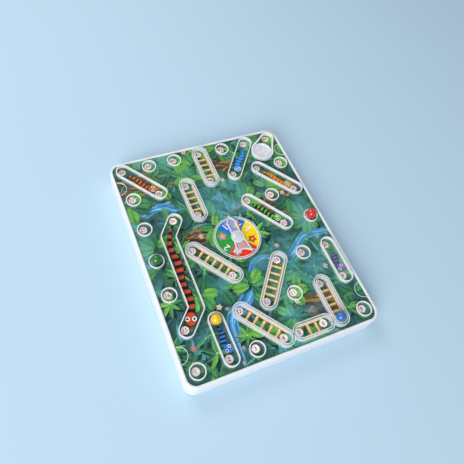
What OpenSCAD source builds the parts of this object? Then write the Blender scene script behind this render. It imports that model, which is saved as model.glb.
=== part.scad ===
// Snakes and ladders board: a tray, a printed card and a clear cover with walled wells and slots for balls.
// Origin at the centre of the underside. X runs across the board, Y up the board, Z up.

/* [Tray] */
// Width of the tray across the board
board_w = 140; // [132:1:180]
// Length of the tray up the board
board_l = 175; // [166:1:220]
// Height of the tray to the top of its rim
tray_h = 16.5; // [10:0.5:30]
// Thickness of the rim and side walls
wall_t = 1.8; // [1.2:0.1:3]
// Radius of the tray's outer corners
corner_r = 8; // [5:0.5:12]
// Thickness of the tray's floor
floor_t = 2; // [1.2:0.1:4]
// Width of the ledge that carries the edge of the card
ledge_w = 2.5; // [1.5:0.1:4]
// Thickness of the ribs that carry the middle of the card
rib_t = 1.6; // [1:0.1:3]
// Depth from the top of the rim down to the printed face of the card
card_drop = 1; // [0.9:0.1:3]

/* [Card] */
// Thickness of the printed card
card_t = 1; // [0.5:0.1:2]
// Gap between the card and the rim, all round
card_gap = 0.2; // [0.1:0.05:0.4]

/* [Cover] */
// Gap between the cover and the rim, all round
cover_gap = 0.3; // [0.2:0.05:0.5]
// Thickness of the clear sheet, which lies on the card
sheet_t = 0.8; // [0.5:0.1:0.9]
// Height of the walls around the ladder slots, above the sheet
ladder_wall_h = 3.7; // [3.2:0.1:5]
// Width of the walls around the ladder slots
ladder_wall_w = 2; // [1:0.1:2.4]
// Height of the walls around the snake slots and the finish, above the sheet
snake_wall_h = 3.1; // [2.8:0.1:3.6]
// Height of the walls around the wells, above the sheet
well_wall_h = 1.8; // [1.2:0.1:3]
// Thickness of the walls around the wells and snake slots
thin_wall_w = 0.7; // [0.5:0.1:0.9]
// Width of the foot that these walls stand on
foot_w = 2; // [1.6:0.1:2.4]
// Height of the foot above the sheet
foot_h = 0.5; // [0.3:0.1:1]
// Distance from the inner edge of the foot to the wall
foot_ledge = 0.7; // [0.3:0.1:0.8]
// Width of the wall around the finish
finish_wall_w = 1.2; // [0.8:0.1:1.4]
// Radius of the finger notches in the long edges
notch_r = 5.5; // [4:0.5:6.5]

/* [Tracks] */
// Distance from the rim to the centres of the outermost wells
edge_gap = 7.6; // [7.2:0.1:9]
// Radius of the wells and half the width of the slots
well_r = 4; // [3.8:0.1:4.4]
// Wall left between two ladder slots that stand side by side
ladder_web = 3.5; // [3:0.1:4]
// Radius of the finish dish
dish_r = 7.6; // [7:0.1:7.8]
// Height of the finish dish above the sheet
dish_h = 2.6; // [1.5:0.1:3.5]
// Width of the rim around the finish dish
dish_rim_w = 1; // [0.6:0.1:2]
// Depth of the finish dish inside its rim
dish_depth = 0.6; // [0.2:0.1:0.9]
// Gap between the finish dish and the wall around it
dish_gap = 0.1; // [0.05:0.05:0.2]

/* [Spinner] */
// Radius of the dial inside its ring
dial_r = 15.6; // [14:0.1:16.4]
// Width of the dial's ring
dial_ring_w = 1.6; // [1:0.1:2]
// Height of the dial's ring above the sheet
dial_ring_h = 1.2; // [0.8:0.1:2]
// Length of the arrow from the pin to its tip
arrow_reach = 18; // [16:0.1:20]
// Length of the arrow from the pin to its tail
tail_reach = 13.4; // [10:0.1:15]
// Width of the arrow's shaft behind its head
shaft_w = 7; // [5:0.1:8]
// Width of the arrow's head
head_w = 9.4; // [8:0.1:12]
// Length of the arrow's head
head_l = 6.6; // [5:0.1:8]
// Width of the arrow across its tail
tail_w = 12; // [9:0.1:13]
// Depth of the notch in the tail
tail_notch = 3; // [1:0.1:4]
// Thickness of the arrow
arrow_t = 1.2; // [1:0.1:3]
// Radius of the arrow's hub
hub_r = 4.8; // [4.2:0.1:5.5]
// Height of the hub above the arrow's blade
hub_rise = 0.2; // [0.1:0.1:1.5]
// Radius of the pin's shank
pin_r = 1.5; // [1:0.1:2]
// Radius of the pin's head
pin_head_r = 3.6; // [2.8:0.1:4]
// Height of the pin's head
pin_head_h = 0.8; // [0.6:0.1:2]
// Radius of the boss that the pin stands in
boss_r = 4; // [3:0.1:5]
// Height of the boss above the dial's ring
boss_rise = 0.1; // [0.1:0.1:2]
// Gap between the pin and the arrow's bore
pin_clearance = 0.05; // [0.02:0.01:0.1]
// Gap above and below the arrow
arrow_float = 0.1; // [0.05:0.05:0.3]

/* [Balls] */
// Diameter of the playing balls
ball_d = 7.4; // [6.5:0.1:7.5]
// Gap between a ball and the floor under it
ball_gap = 0.1; // [0.05:0.05:0.3]

/* [Hidden] */
$fn = 96;

// How far a cut runs past the face that it opens
overrun = 1;
// How far a slot's straight sides stand inside its round ends
seam_step = 0.03;
// The ribs leave this many cells across and up the tray
cells_across = 2;
cells_up = 4;

// Room inside the rim
inner_w = board_w - 2 * wall_t;
inner_l = board_l - 2 * wall_t;
inner_corner_r = corner_r - wall_t;

// Heights
card_top = tray_h - card_drop;
ledge_z = card_top - card_t;
sheet_z = card_top + sheet_t;
foot_z = sheet_z + foot_h;
dial_z = sheet_z + dial_ring_h;
boss_z = dial_z + boss_rise;
arrow_z = boss_z + arrow_float;
hub_z = arrow_z + arrow_t + hub_rise;
pin_head_z = hub_z + arrow_float;

// The clear cover's own outline
cover_w = inner_w - 2 * cover_gap;
cover_l = inner_l - 2 * cover_gap;
cover_corner_r = inner_corner_r - cover_gap;

// The places lie on seven columns and seven rows, counted from the middle of the board
outer_column = 3;
outer_row = 3;
column_pitch = (inner_w - 2 * edge_gap) / (2 * outer_column);
row_pitch = (inner_l - 2 * edge_gap) / (2 * outer_row);
function place(step) = [step.x * column_pitch, step.y * row_pitch];
function places(steps) = [for (step = steps) place(step)];

// Places with a well of their own, as shares of the column and row pitch
well_shares = [[-3, -3], [-1, -3], [3, -3], [1, -2], [-3, -1], [2, -1], [3, 0], [-3, 0],
    [-3, 1], [2, 1], [3, 2], [-3, 2], [-2, 3], [-1, 3], [1, 3]];
// Foot and top of each ladder
ladder_shares = [[[0, -3], [-1, -2]], [[2.04, -3], [2.04, -2]], [[0, -2], [1, -1]],
    [[-0.7, -1.03], [-1.68, -0.03]], [[-0.96, 1], [-0.96, 2]], [[0.03, 2], [0.03, 3]]];
// Head and tail of each snake, and the bends between them
snake_shares = [[[-1.89, -2], [-1.89, -3]], [[3, -1], [3, -2]], [[1, 1], [1.93, 0]], [[2, 2], [3, 1]],
    [[-3, 3], [-2, 2]], [[2, 3], [1, 2]], [[-1.9, 1], [-2.32, 0.58], [-2.32, -1.54], [-2.87, -2]]];
// The last place and the finish dish beside it
last_share = [3, 3];
dish_share = [2.52, 2.56];
// The finger notches lie this many rows from the middle
notch_share = 2.5;
// Where the four balls stand: two in wells, one at the foot of a ladder, one at the head of a snake
red_share = [3, 0];
green_share = [-3, 0];
yellow_share = [-1.89, -2];
blue_share = [2.04, -3];

// The short ladder in the first row lies between its two neighbours
short_ladder_inset = 2 * well_r + ladder_web;
short_ladder = [[place(ladder_shares[0][0]).x + short_ladder_inset, -outer_row * row_pitch],
    [place(ladder_shares[1][0]).x - short_ladder_inset, -outer_row * row_pitch]];
wells = places(well_shares);
ladders = concat([for (steps = ladder_shares) places(steps)], [short_ladder]);
snakes = [for (steps = snake_shares) places(steps)];
last_place = place(last_share);
dish_place = place(dish_share);
dish_pocket_r = dish_r + dish_gap;

// A plate with round corners, standing on z = 0
module rounded_plate(w, l, r, h) {
    translate([r - w / 2, -l / 2, 0]) cube([w - 2 * r, l, h]);
    translate([-w / 2, r - l / 2, 0]) cube([w, l - 2 * r, h]);
    for (side_x = [-1, 1], side_y = [-1, 1])
        translate([side_x * (w / 2 - r), side_y * (l / 2 - r), 0]) cylinder(r = r, h = h);
}

// The sideways direction of a stretch from one point to the next, one unit long
function across(from, to) = [from.y - to.y, to.x - from.x] / norm(to - from);

// An upright track through one or more points, round at each of them
module track(points, r, h) {
    for (point = points) translate([point.x, point.y, 0]) cylinder(r = r, h = h);
    for (i = [1:1:len(points) - 1]) track_run(points[i - 1], points[i], r, r, h);
}

// The straight stretch of a track, which may widen on its way
module track_run(from, to, from_r, to_r, h) {
    side = across(from, to);
    from_half = (from_r - seam_step) * side;
    to_half = (to_r - seam_step) * side;
    linear_extrude(h) polygon([from + from_half, to + to_half, to - to_half, from - from_half]);
}

// A filled track that stands on the card and rises a height above the sheet
module raised(points, r, h) {
    translate([0, 0, card_top]) track(points, r, sheet_t + h);
}

// A thin wall on its foot around a well or snake slot, still filled
module footed(points, h) {
    raised(points, well_r + foot_w, foot_h);
    raised(points, well_r + foot_ledge + thin_wall_w, h);
}

// The room inside a well or slot, from the sheet to past the walls
module hollow(points) {
    translate([0, 0, sheet_z]) track(points, well_r, ladder_wall_h + overrun);
}

// The wider room above the foot of a well or snake slot
module upper_hollow(points) {
    translate([0, 0, foot_z]) track(points, well_r + foot_ledge, ladder_wall_h);
}

// The finish widens from the last place to the dish
module finish_outline(grow, h) {
    track([last_place], well_r + grow, h);
    track([dish_place], dish_pocket_r + grow, h);
    track_run(last_place, dish_place, well_r + grow, dish_pocket_r + grow, h);
}

// One upright cylinder on the cover's long edge at each finger notch
module notch_columns(r, z, h) {
    for (side_x = [-1, 1], side_y = [-1, 1])
        translate([side_x * cover_w / 2, side_y * notch_share * row_pitch, z]) cylinder(r = r, h = h);
}

// White moulded tray: floor, walls, ledge and ribs
module tray() {
    cell_w = (inner_w - 2 * ledge_w - (cells_across - 1) * rib_t) / cells_across;
    cell_l = (inner_l - 2 * ledge_w - (cells_up - 1) * rib_t) / cells_up;
    color("white") difference() {
        rounded_plate(board_w, board_l, corner_r, tray_h);
        translate([0, 0, ledge_z]) rounded_plate(inner_w, inner_l, inner_corner_r, tray_h);
        for (i = [0:cells_across - 1], j = [0:cells_up - 1])
            translate([ledge_w - inner_w / 2 + i * (cell_w + rib_t),
                ledge_w - inner_l / 2 + j * (cell_l + rib_t), floor_t]) cube([cell_w, cell_l, tray_h]);
    }
}

// Printed card on the ledge and ribs
module printed_card() {
    color("seagreen") translate([0, 0, ledge_z])
        rounded_plate(inner_w - 2 * card_gap, inner_l - 2 * card_gap, inner_corner_r - card_gap, card_t);
}

// Clear cover: a sheet on the card, with walls around the wells and slots and a low ring around the dial
module clear_cover() {
    color("lightcyan", 0.4) difference() {
        union() {
            translate([0, 0, card_top]) rounded_plate(cover_w, cover_l, cover_corner_r, sheet_t);
            for (well = wells) footed([well], well_wall_h);
            for (snake = snakes) footed(snake, snake_wall_h);
            for (ladder = ladders) raised(ladder, well_r + ladder_wall_w, ladder_wall_h);
            translate([0, 0, card_top]) finish_outline(finish_wall_w, sheet_t + snake_wall_h);
            translate([0, 0, card_top]) difference() {
                cylinder(r = dial_r + dial_ring_w, h = dial_z - card_top);
                translate([0, 0, sheet_t]) cylinder(r = dial_r, h = dial_z);
            }
            translate([0, 0, card_top]) cylinder(r = boss_r, h = boss_z - card_top);
        }
        for (well = wells) hollow([well]);
        for (well = wells) upper_hollow([well]);
        for (snake = snakes) hollow(snake);
        for (snake = snakes) upper_hollow(snake);
        for (ladder = ladders) hollow(ladder);
        translate([0, 0, sheet_z]) finish_outline(0, snake_wall_h + overrun);
        notch_columns(notch_r, card_top - overrun, sheet_t + 2 * overrun);
        translate([0, 0, card_top - overrun]) cylinder(r = pin_r, h = boss_z);
    }
}

// Frosted dish in the round end of the finish
module finish_dish() {
    color("whitesmoke") translate([dish_place.x, dish_place.y, sheet_z]) difference() {
        cylinder(r = dish_r, h = dish_h);
        translate([0, 0, dish_h - dish_depth]) cylinder(r = dish_r - dish_rim_w, h = dish_depth + overrun);
    }
}

// Pin pressed into the boss, with a domed head over the arrow
module spinner_pin() {
    dome_r = (pin_head_r * pin_head_r + pin_head_h * pin_head_h) / (2 * pin_head_h);
    color("ghostwhite") {
        translate([0, 0, card_top]) cylinder(r = pin_r, h = pin_head_z - card_top);
        intersection() {
            translate([0, 0, pin_head_z]) cylinder(r = pin_head_r, h = pin_head_h);
            translate([0, 0, pin_head_z + pin_head_h - dome_r]) sphere(r = dome_r);
        }
    }
}

// Arrow that turns on the pin, pointing up the board at rest
module spinner_arrow() {
    head_z = arrow_reach - head_l;
    outline = [[0, arrow_reach], [head_w / 2, head_z], [shaft_w / 2, head_z], [shaft_w / 2, 0],
        [tail_w / 2, -tail_reach], [0, tail_notch - tail_reach], [-tail_w / 2, -tail_reach],
        [-shaft_w / 2, 0], [-shaft_w / 2, head_z], [-head_w / 2, head_z]];
    color("aliceblue") difference() {
        translate([0, 0, arrow_z]) {
            linear_extrude(arrow_t) polygon(outline);
            cylinder(r = hub_r, h = hub_z - arrow_z);
        }
        cylinder(r = pin_r + pin_clearance, h = hub_z + overrun);
    }
}

// A ball standing in a well or slot
module ball(share, tint) {
    spot = place(share);
    color(tint) translate([spot.x, spot.y, sheet_z + ball_gap + ball_d / 2]) sphere(d = ball_d);
}

module red_ball() ball(red_share, "red");
module green_ball() ball(green_share, "green");
module yellow_ball() ball(yellow_share, "gold");
module blue_ball() ball(blue_share, "steelblue");

tray();
printed_card();
clear_cover();
finish_dish();
spinner_pin();
spinner_arrow();
red_ball();
green_ball();
yellow_ball();
blue_ball();
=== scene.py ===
"""Looks of a snakes and ladders travel board: tray, printed card, clear cover, spinner and balls."""

import logging
import math
import random
from dataclasses import dataclass, field
from enum import Enum
from typing import Callable, Iterable, Sequence

import bmesh
import bpy
from mathutils import Matrix, Vector


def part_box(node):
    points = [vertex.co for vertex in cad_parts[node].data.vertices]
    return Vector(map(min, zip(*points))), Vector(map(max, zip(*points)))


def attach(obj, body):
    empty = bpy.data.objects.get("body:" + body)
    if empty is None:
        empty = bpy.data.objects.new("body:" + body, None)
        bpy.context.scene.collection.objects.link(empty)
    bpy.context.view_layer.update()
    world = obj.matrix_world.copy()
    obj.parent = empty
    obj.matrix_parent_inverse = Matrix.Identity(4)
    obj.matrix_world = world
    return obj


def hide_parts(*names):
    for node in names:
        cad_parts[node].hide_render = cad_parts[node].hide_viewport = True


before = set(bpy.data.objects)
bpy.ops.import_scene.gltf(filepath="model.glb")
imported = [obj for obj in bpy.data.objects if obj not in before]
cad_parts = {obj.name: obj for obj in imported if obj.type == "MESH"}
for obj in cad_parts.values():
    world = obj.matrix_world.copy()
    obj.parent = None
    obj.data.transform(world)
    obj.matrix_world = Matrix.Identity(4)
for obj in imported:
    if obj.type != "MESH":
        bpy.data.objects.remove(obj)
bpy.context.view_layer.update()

LOG = logging.getLogger("board")
MM = 0.001
FULL_TURN = 2 * math.pi
QUARTER_TURN = math.pi / 2
# Corners nearer than this are one corner
MERGE = 0.001 * MM
# Upward part of a normal from which a face counts as level
LEVEL_FACE = 0.5
# Index of refraction of clear acrylic and polypropylene
CLEAR_IOR = 1.49
# Dull varnish of the printed card
VARNISH = {"Roughness": 0.6, "IOR": 1.5, "Specular IOR Level": 0.2}

Colour = tuple[float, float, float, float]
Faces = Iterable[bmesh.types.BMFace]


class Ink(Enum):
    """Inks of the printed card, as sRGB hex values."""

    DEEP_SHADE = "#163238"
    TEAL_SHADE = "#376E72"
    FOREST = "#2B664A"
    MOSS = "#449060"
    FERN = "#64B256"
    LEAF = "#80C652"
    BRIGHT_LEAF = "#94CE5C"
    PALE_LEAF = "#B6E070"
    MIST = "#66B4C8"
    EARTH = "#7C5E44"
    EARTH_DARK = "#4C3C36"
    OCHRE = "#A88C3E"
    WATER = "#4CB0E8"
    WATER_LIGHT = "#9CD8F6"
    WATER_DEEP = "#2C7CC6"
    STONE = "#7E8A86"
    STONE_LIGHT = "#B4BEB8"
    WHITE = "#FAF6F4"
    BLUSH = "#F0CCC8"
    RED = "#D0383A"
    PETAL_PINK = "#F09CA8"
    PETAL_WHITE = "#F8F0E8"
    POLLEN = "#F4B634"
    GOLD = "#EEC67C"
    GOLD_LIGHT = "#FAE6B4"
    GOLD_DARK = "#C08A40"
    BLACK = "#1A1A1E"
    DIAL_BLUE = "#1E6FDC"
    DIAL_YELLOW = "#F8D816"
    DIAL_RED = "#EE3B27"
    DIAL_GREEN = "#2F9E41"
    SNAKE_BLUE = "#2F8DE6"
    SNAKE_ORANGE = "#E8792B"
    SNAKE_RUST = "#C4502A"
    SNAKE_YELLOW = "#F0B23A"
    SNAKE_LIME = "#6FBF3A"
    SNAKE_VIOLET = "#8E6FC8"
    SNAKE_SKY = "#4FB2F0"


class Body(Enum):
    """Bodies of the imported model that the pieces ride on."""

    BASE = "base"
    COVER = "cover"
    ARROW = "arrow"


def linear(hex_colour: str) -> Colour:
    """Turn an sRGB hex value into a linear colour.

    Args:
        hex_colour: a colour such as "#12323A".

    Returns:
        Red, green, blue and alpha, linear.
    """
    channels = [int(hex_colour[i:i + 2], 16) / 255 for i in (1, 3, 5)]
    bent = [c / 12.92 if c <= 0.04045 else ((c + 0.055) / 1.055) ** 2.4 for c in channels]
    return (*bent, 1.0)


def add_node(tree: bpy.types.NodeTree, kind: str, settings: dict | None = None,
             inputs: dict | None = None) -> bpy.types.Node:
    """Add one node with its settings, values and links.

    Args:
        tree: node tree that takes the node.
        kind: Blender's name of the node.
        settings: the node's own attributes.
        inputs: socket name or number to a value or to the output socket that feeds it.

    Returns:
        The new node.
    """
    node = tree.nodes.new(kind)
    for name, value in (settings or {}).items():
        setattr(node, name, value)
    for name, value in (inputs or {}).items():
        if isinstance(value, bpy.types.NodeSocket):
            tree.links.new(value, node.inputs[name])
        else:
            node.inputs[name].default_value = value
    return node


def cycles_per_metre(size_mm: float) -> float:
    """Scale of a noise whose features are about size_mm wide on Object coordinates."""
    return 1 / (size_mm * MM)


@dataclass(frozen=True)
class Finish:
    """Finish of a piece.

    Attributes:
        name: name of the material, after the real one.
    """

    name: str

    def surface(self, tree: bpy.types.NodeTree) -> bpy.types.NodeSocket:
        """Lay out the nodes; each kind of finish has its own."""
        raise NotImplementedError

    def material(self) -> bpy.types.Material:
        """Make the material.

        Returns:
            The material, with its nodes.
        """
        material = bpy.data.materials.new(self.name)
        material.use_nodes = True
        tree = material.node_tree
        tree.nodes.clear()
        output = tree.nodes.new("ShaderNodeOutputMaterial")
        tree.links.new(self.surface(tree), output.inputs["Surface"])
        return material


@dataclass(frozen=True)
class PaintedTable(Finish):
    """Matt paint of the table under the board.

    Attributes:
        colour: sRGB hex value.
    """

    colour: str

    def surface(self, tree: bpy.types.NodeTree) -> bpy.types.NodeSocket:
        """Give the paint its dull shader."""
        return add_node(tree, "ShaderNodeBsdfPrincipled", inputs={
            "Base Color": linear(self.colour), "Roughness": 0.8, "Specular IOR Level": 0.2}).outputs["BSDF"]


@dataclass(frozen=True)
class MouldedPlastic(Finish):
    """Injection-moulded plastic: an even colour with a faint flow mottle and a fine skin.

    Attributes:
        colour: sRGB hex value.
        roughness: how matt the mould left it.
        ior: index of refraction of the plastic.
        mottle_mm: width of the cloudy flow marks.
        mottle_depth: how much darker the marks are, from 0 to 1.
        skin_mm: grain of the surface, drawn coarser than the real one so that it shows.
        skin_height: depth of that grain in millimetres.
        glow: share of light that sinks in and comes out again.
        coat: weight of the polished skin.
    """

    colour: str
    roughness: float
    ior: float = 1.54
    mottle_mm: float = 14.0
    mottle_depth: float = 0.05
    skin_mm: float = 0.5
    skin_height: float = 0.01
    glow: float = 0.0
    coat: float = 0.0

    def surface(self, tree: bpy.types.NodeTree) -> bpy.types.NodeSocket:
        """Lay out the nodes.

        Args:
            tree: empty node tree.

        Returns:
            The output that feeds the surface.
        """
        place = add_node(tree, "ShaderNodeTexCoord").outputs["Object"]
        flow = add_node(tree, "ShaderNodeTexNoise", inputs={
            "Vector": place, "Scale": cycles_per_metre(self.mottle_mm), "Detail": 3.0})
        full = linear(self.colour)
        shade = tuple(c * (1 - self.mottle_depth) for c in full[:3]) + (1.0,)
        tone = add_node(tree, "ShaderNodeMix", {"data_type": "RGBA"}, {
            "Factor": flow.outputs["Fac"], 6: shade, 7: full})
        grain = add_node(tree, "ShaderNodeTexNoise", inputs={
            "Vector": place, "Scale": cycles_per_metre(self.skin_mm), "Detail": 2.0})
        bump = add_node(tree, "ShaderNodeBump", inputs={
            "Height": grain.outputs["Fac"], "Distance": self.skin_height * MM, "Strength": 0.4})
        shader = add_node(tree, "ShaderNodeBsdfPrincipled", inputs={
            "Base Color": tone.outputs[2], "Roughness": self.roughness, "IOR": self.ior,
            "Coat Weight": self.coat, "Coat Roughness": 0.04, "Subsurface Weight": self.glow,
            "Subsurface Scale": 1.5 * MM, "Normal": bump.outputs["Normal"]})
        return shader.outputs["BSDF"]


@dataclass(frozen=True)
class ClearSheet(Finish):
    """Clear moulded sheet lying flat: see-through, with a thin gloss.

    Attributes:
        gloss: share of the full reflection that is kept.
        haze_mm: width of the faint scuffed patches.
        haze: how much those patches hide.
    """

    gloss: float = 0.3
    haze_mm: float = 9.0
    haze: float = 0.03

    def surface(self, tree: bpy.types.NodeTree) -> bpy.types.NodeSocket:
        """Lay out the nodes.

        Args:
            tree: empty node tree.

        Returns:
            The output that feeds the surface.
        """
        place = add_node(tree, "ShaderNodeTexCoord").outputs["Object"]
        fresnel = add_node(tree, "ShaderNodeFresnel", inputs={"IOR": CLEAR_IOR})
        thin = add_node(tree, "ShaderNodeMath", {"operation": "MULTIPLY"}, {0: fresnel.outputs["Fac"], 1: self.gloss})
        shine = add_node(tree, "ShaderNodeBsdfGlossy", inputs={"Color": linear("#FFFFFF"), "Roughness": 0.16})
        clear = add_node(tree, "ShaderNodeBsdfTransparent")
        pane = add_node(tree, "ShaderNodeMixShader", inputs={
            0: thin.outputs[0], 1: clear.outputs["BSDF"], 2: shine.outputs["BSDF"]})
        scuff = add_node(tree, "ShaderNodeTexNoise", inputs={
            "Vector": place, "Scale": cycles_per_metre(self.haze_mm), "Detail": 4.0})
        haze = add_node(tree, "ShaderNodeMapRange", inputs={
            "Value": scuff.outputs["Fac"], "From Min": 0.5, "From Max": 0.75, "To Max": self.haze})
        milk = add_node(tree, "ShaderNodeBsdfDiffuse", inputs={"Color": linear("#F4F7FA")})
        both = add_node(tree, "ShaderNodeMixShader", inputs={
            0: haze.outputs["Result"], 1: pane.outputs["Shader"], 2: milk.outputs["BSDF"]})
        return both.outputs["Shader"]


@dataclass(frozen=True)
class FrostedWall(Finish):
    """Drawn wall of clear plastic: the stretched skin scatters, so it shows white.

    Attributes:
        cover: how much the whitest stretches hide, from 0 to 1.
        thin_share: share of that cover where the skin is clearest.
        streak_mm: width of the upright streaks that drawing leaves.
        roughness: roughness of the skin.
    """

    cover: float
    thin_share: float = 0.84
    streak_mm: float = 2.4
    roughness: float = 0.3

    def surface(self, tree: bpy.types.NodeTree) -> bpy.types.NodeSocket:
        """Lay out the nodes.

        Args:
            tree: empty node tree.

        Returns:
            The output that feeds the surface.
        """
        place = add_node(tree, "ShaderNodeTexCoord").outputs["Object"]
        drawn = add_node(tree, "ShaderNodeMapping", inputs={"Vector": place, "Scale": (1.0, 1.0, 0.2)})
        streaks = add_node(tree, "ShaderNodeTexNoise", inputs={
            "Vector": drawn.outputs["Vector"], "Scale": cycles_per_metre(self.streak_mm), "Detail": 3.0})
        cover = add_node(tree, "ShaderNodeMapRange", inputs={
            "Value": streaks.outputs["Fac"], "From Min": 0.3, "From Max": 0.7,
            "To Min": self.thin_share * self.cover, "To Max": self.cover})
        milky = add_node(tree, "ShaderNodeBsdfPrincipled", inputs={
            "Base Color": linear("#F8FBFF"), "Roughness": self.roughness, "IOR": CLEAR_IOR})
        clear = add_node(tree, "ShaderNodeBsdfTransparent")
        both = add_node(tree, "ShaderNodeMixShader", inputs={
            0: cover.outputs["Result"], 1: clear.outputs["BSDF"], 2: milky.outputs["BSDF"]})
        return both.outputs["Shader"]


@dataclass(frozen=True)
class MilkyPlastic(Finish):
    """Translucent polypropylene: cloudy white, partly see-through on its faces.

    Attributes:
        dark: sRGB hex value of the thin stretches.
        light: sRGB hex value of the thick stretches.
        cover: how much a face hides, from 0 to 1.
        roughness: roughness of the skin.
        cloud_mm: size of the cloudy patches.
    """

    dark: str
    light: str
    cover: float
    roughness: float
    cloud_mm: float

    def surface(self, tree: bpy.types.NodeTree) -> bpy.types.NodeSocket:
        """Lay out the nodes.

        Args:
            tree: empty node tree.

        Returns:
            The output that feeds the surface.
        """
        coords = add_node(tree, "ShaderNodeTexCoord")
        cloud = add_node(tree, "ShaderNodeTexNoise", inputs={
            "Vector": coords.outputs["Object"], "Scale": cycles_per_metre(self.cloud_mm), "Detail": 4.0,
            "Roughness": 0.6})
        spread = add_node(tree, "ShaderNodeMapRange", inputs={
            "Value": cloud.outputs["Fac"], "From Min": 0.35, "From Max": 0.65})
        tone = add_node(tree, "ShaderNodeMix", {"data_type": "RGBA"}, {
            "Factor": spread.outputs["Result"], 6: linear(self.dark), 7: linear(self.light)})
        bump = add_node(tree, "ShaderNodeBump", inputs={
            "Height": cloud.outputs["Fac"], "Distance": 0.05 * MM, "Strength": 0.4})
        facing = add_node(tree, "ShaderNodeSeparateXYZ", inputs={"Vector": coords.outputs["Normal"]})
        upright = add_node(tree, "ShaderNodeMath", {"operation": "ABSOLUTE"}, {0: facing.outputs["Z"]})
        cover = add_node(tree, "ShaderNodeMapRange", inputs={
            "Value": upright.outputs[0], "From Min": 0.7, "From Max": 0.98,
            "To Min": 0.5 + 0.5 * self.cover, "To Max": self.cover})
        shader = add_node(tree, "ShaderNodeBsdfPrincipled", inputs={
            "Base Color": tone.outputs[2], "Roughness": self.roughness, "IOR": CLEAR_IOR,
            "Subsurface Weight": 0.3, "Subsurface Scale": 1.0 * MM, "Coat Weight": 0.3,
            "Normal": bump.outputs["Normal"]})
        clear = add_node(tree, "ShaderNodeBsdfTransparent")
        both = add_node(tree, "ShaderNodeMixShader", inputs={
            0: cover.outputs["Result"], 1: clear.outputs["BSDF"], 2: shader.outputs["BSDF"]})
        return both.outputs["Shader"]


@dataclass(frozen=True)
class PrintedInk(Finish):
    """Offset ink on coated card: the colour of each shape, with the card's fine fibre in it.

    Attributes:
        fibre_mm: spacing of the fibre, drawn coarser than the real one so that it shows.
        fibre_depth: how much the fibre darkens the ink.
        mist: how far the mist hides the ink at its thickest, from 0 to 1.
        mist_mm: width of the patches of mist.
    """

    fibre_mm: float = 0.9
    fibre_depth: float = 0.22
    mist: float = 0.0
    mist_mm: float = 34.0

    def surface(self, tree: bpy.types.NodeTree) -> bpy.types.NodeSocket:
        """Lay out the nodes.

        Args:
            tree: empty node tree.

        Returns:
            The output that feeds the surface.
        """
        place = add_node(tree, "ShaderNodeTexCoord").outputs["Object"]
        ink = add_node(tree, "ShaderNodeAttribute", {"attribute_name": "ink"})
        fibre = add_node(tree, "ShaderNodeTexNoise", inputs={
            "Vector": place, "Scale": cycles_per_metre(self.fibre_mm), "Detail": 3.0})
        depth = add_node(tree, "ShaderNodeMapRange", inputs={
            "Value": fibre.outputs["Fac"], "From Min": 0.3, "From Max": 0.7,
            "To Min": 1 - self.fibre_depth, "To Max": 1 + self.fibre_depth})
        tone = add_node(tree, "ShaderNodeVectorMath", {"operation": "SCALE"}, {
            0: ink.outputs["Color"], "Scale": depth.outputs["Result"]})
        drift = add_node(tree, "ShaderNodeTexNoise", inputs={
            "Vector": place, "Scale": cycles_per_metre(self.mist_mm), "Detail": 3.0, "Roughness": 0.55})
        veil = add_node(tree, "ShaderNodeMapRange", {"interpolation_type": "SMOOTHSTEP"}, {
            "Value": drift.outputs["Fac"], "From Min": 0.5, "From Max": 0.66, "To Max": self.mist})
        misty = add_node(tree, "ShaderNodeMix", {"data_type": "RGBA"}, {
            "Factor": veil.outputs["Result"], 6: tone.outputs["Vector"], 7: linear(Ink.MIST.value)})
        shader = add_node(tree, "ShaderNodeBsdfPrincipled", inputs={
            "Base Color": misty.outputs[2], **VARNISH})
        return shader.outputs["BSDF"]


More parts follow.
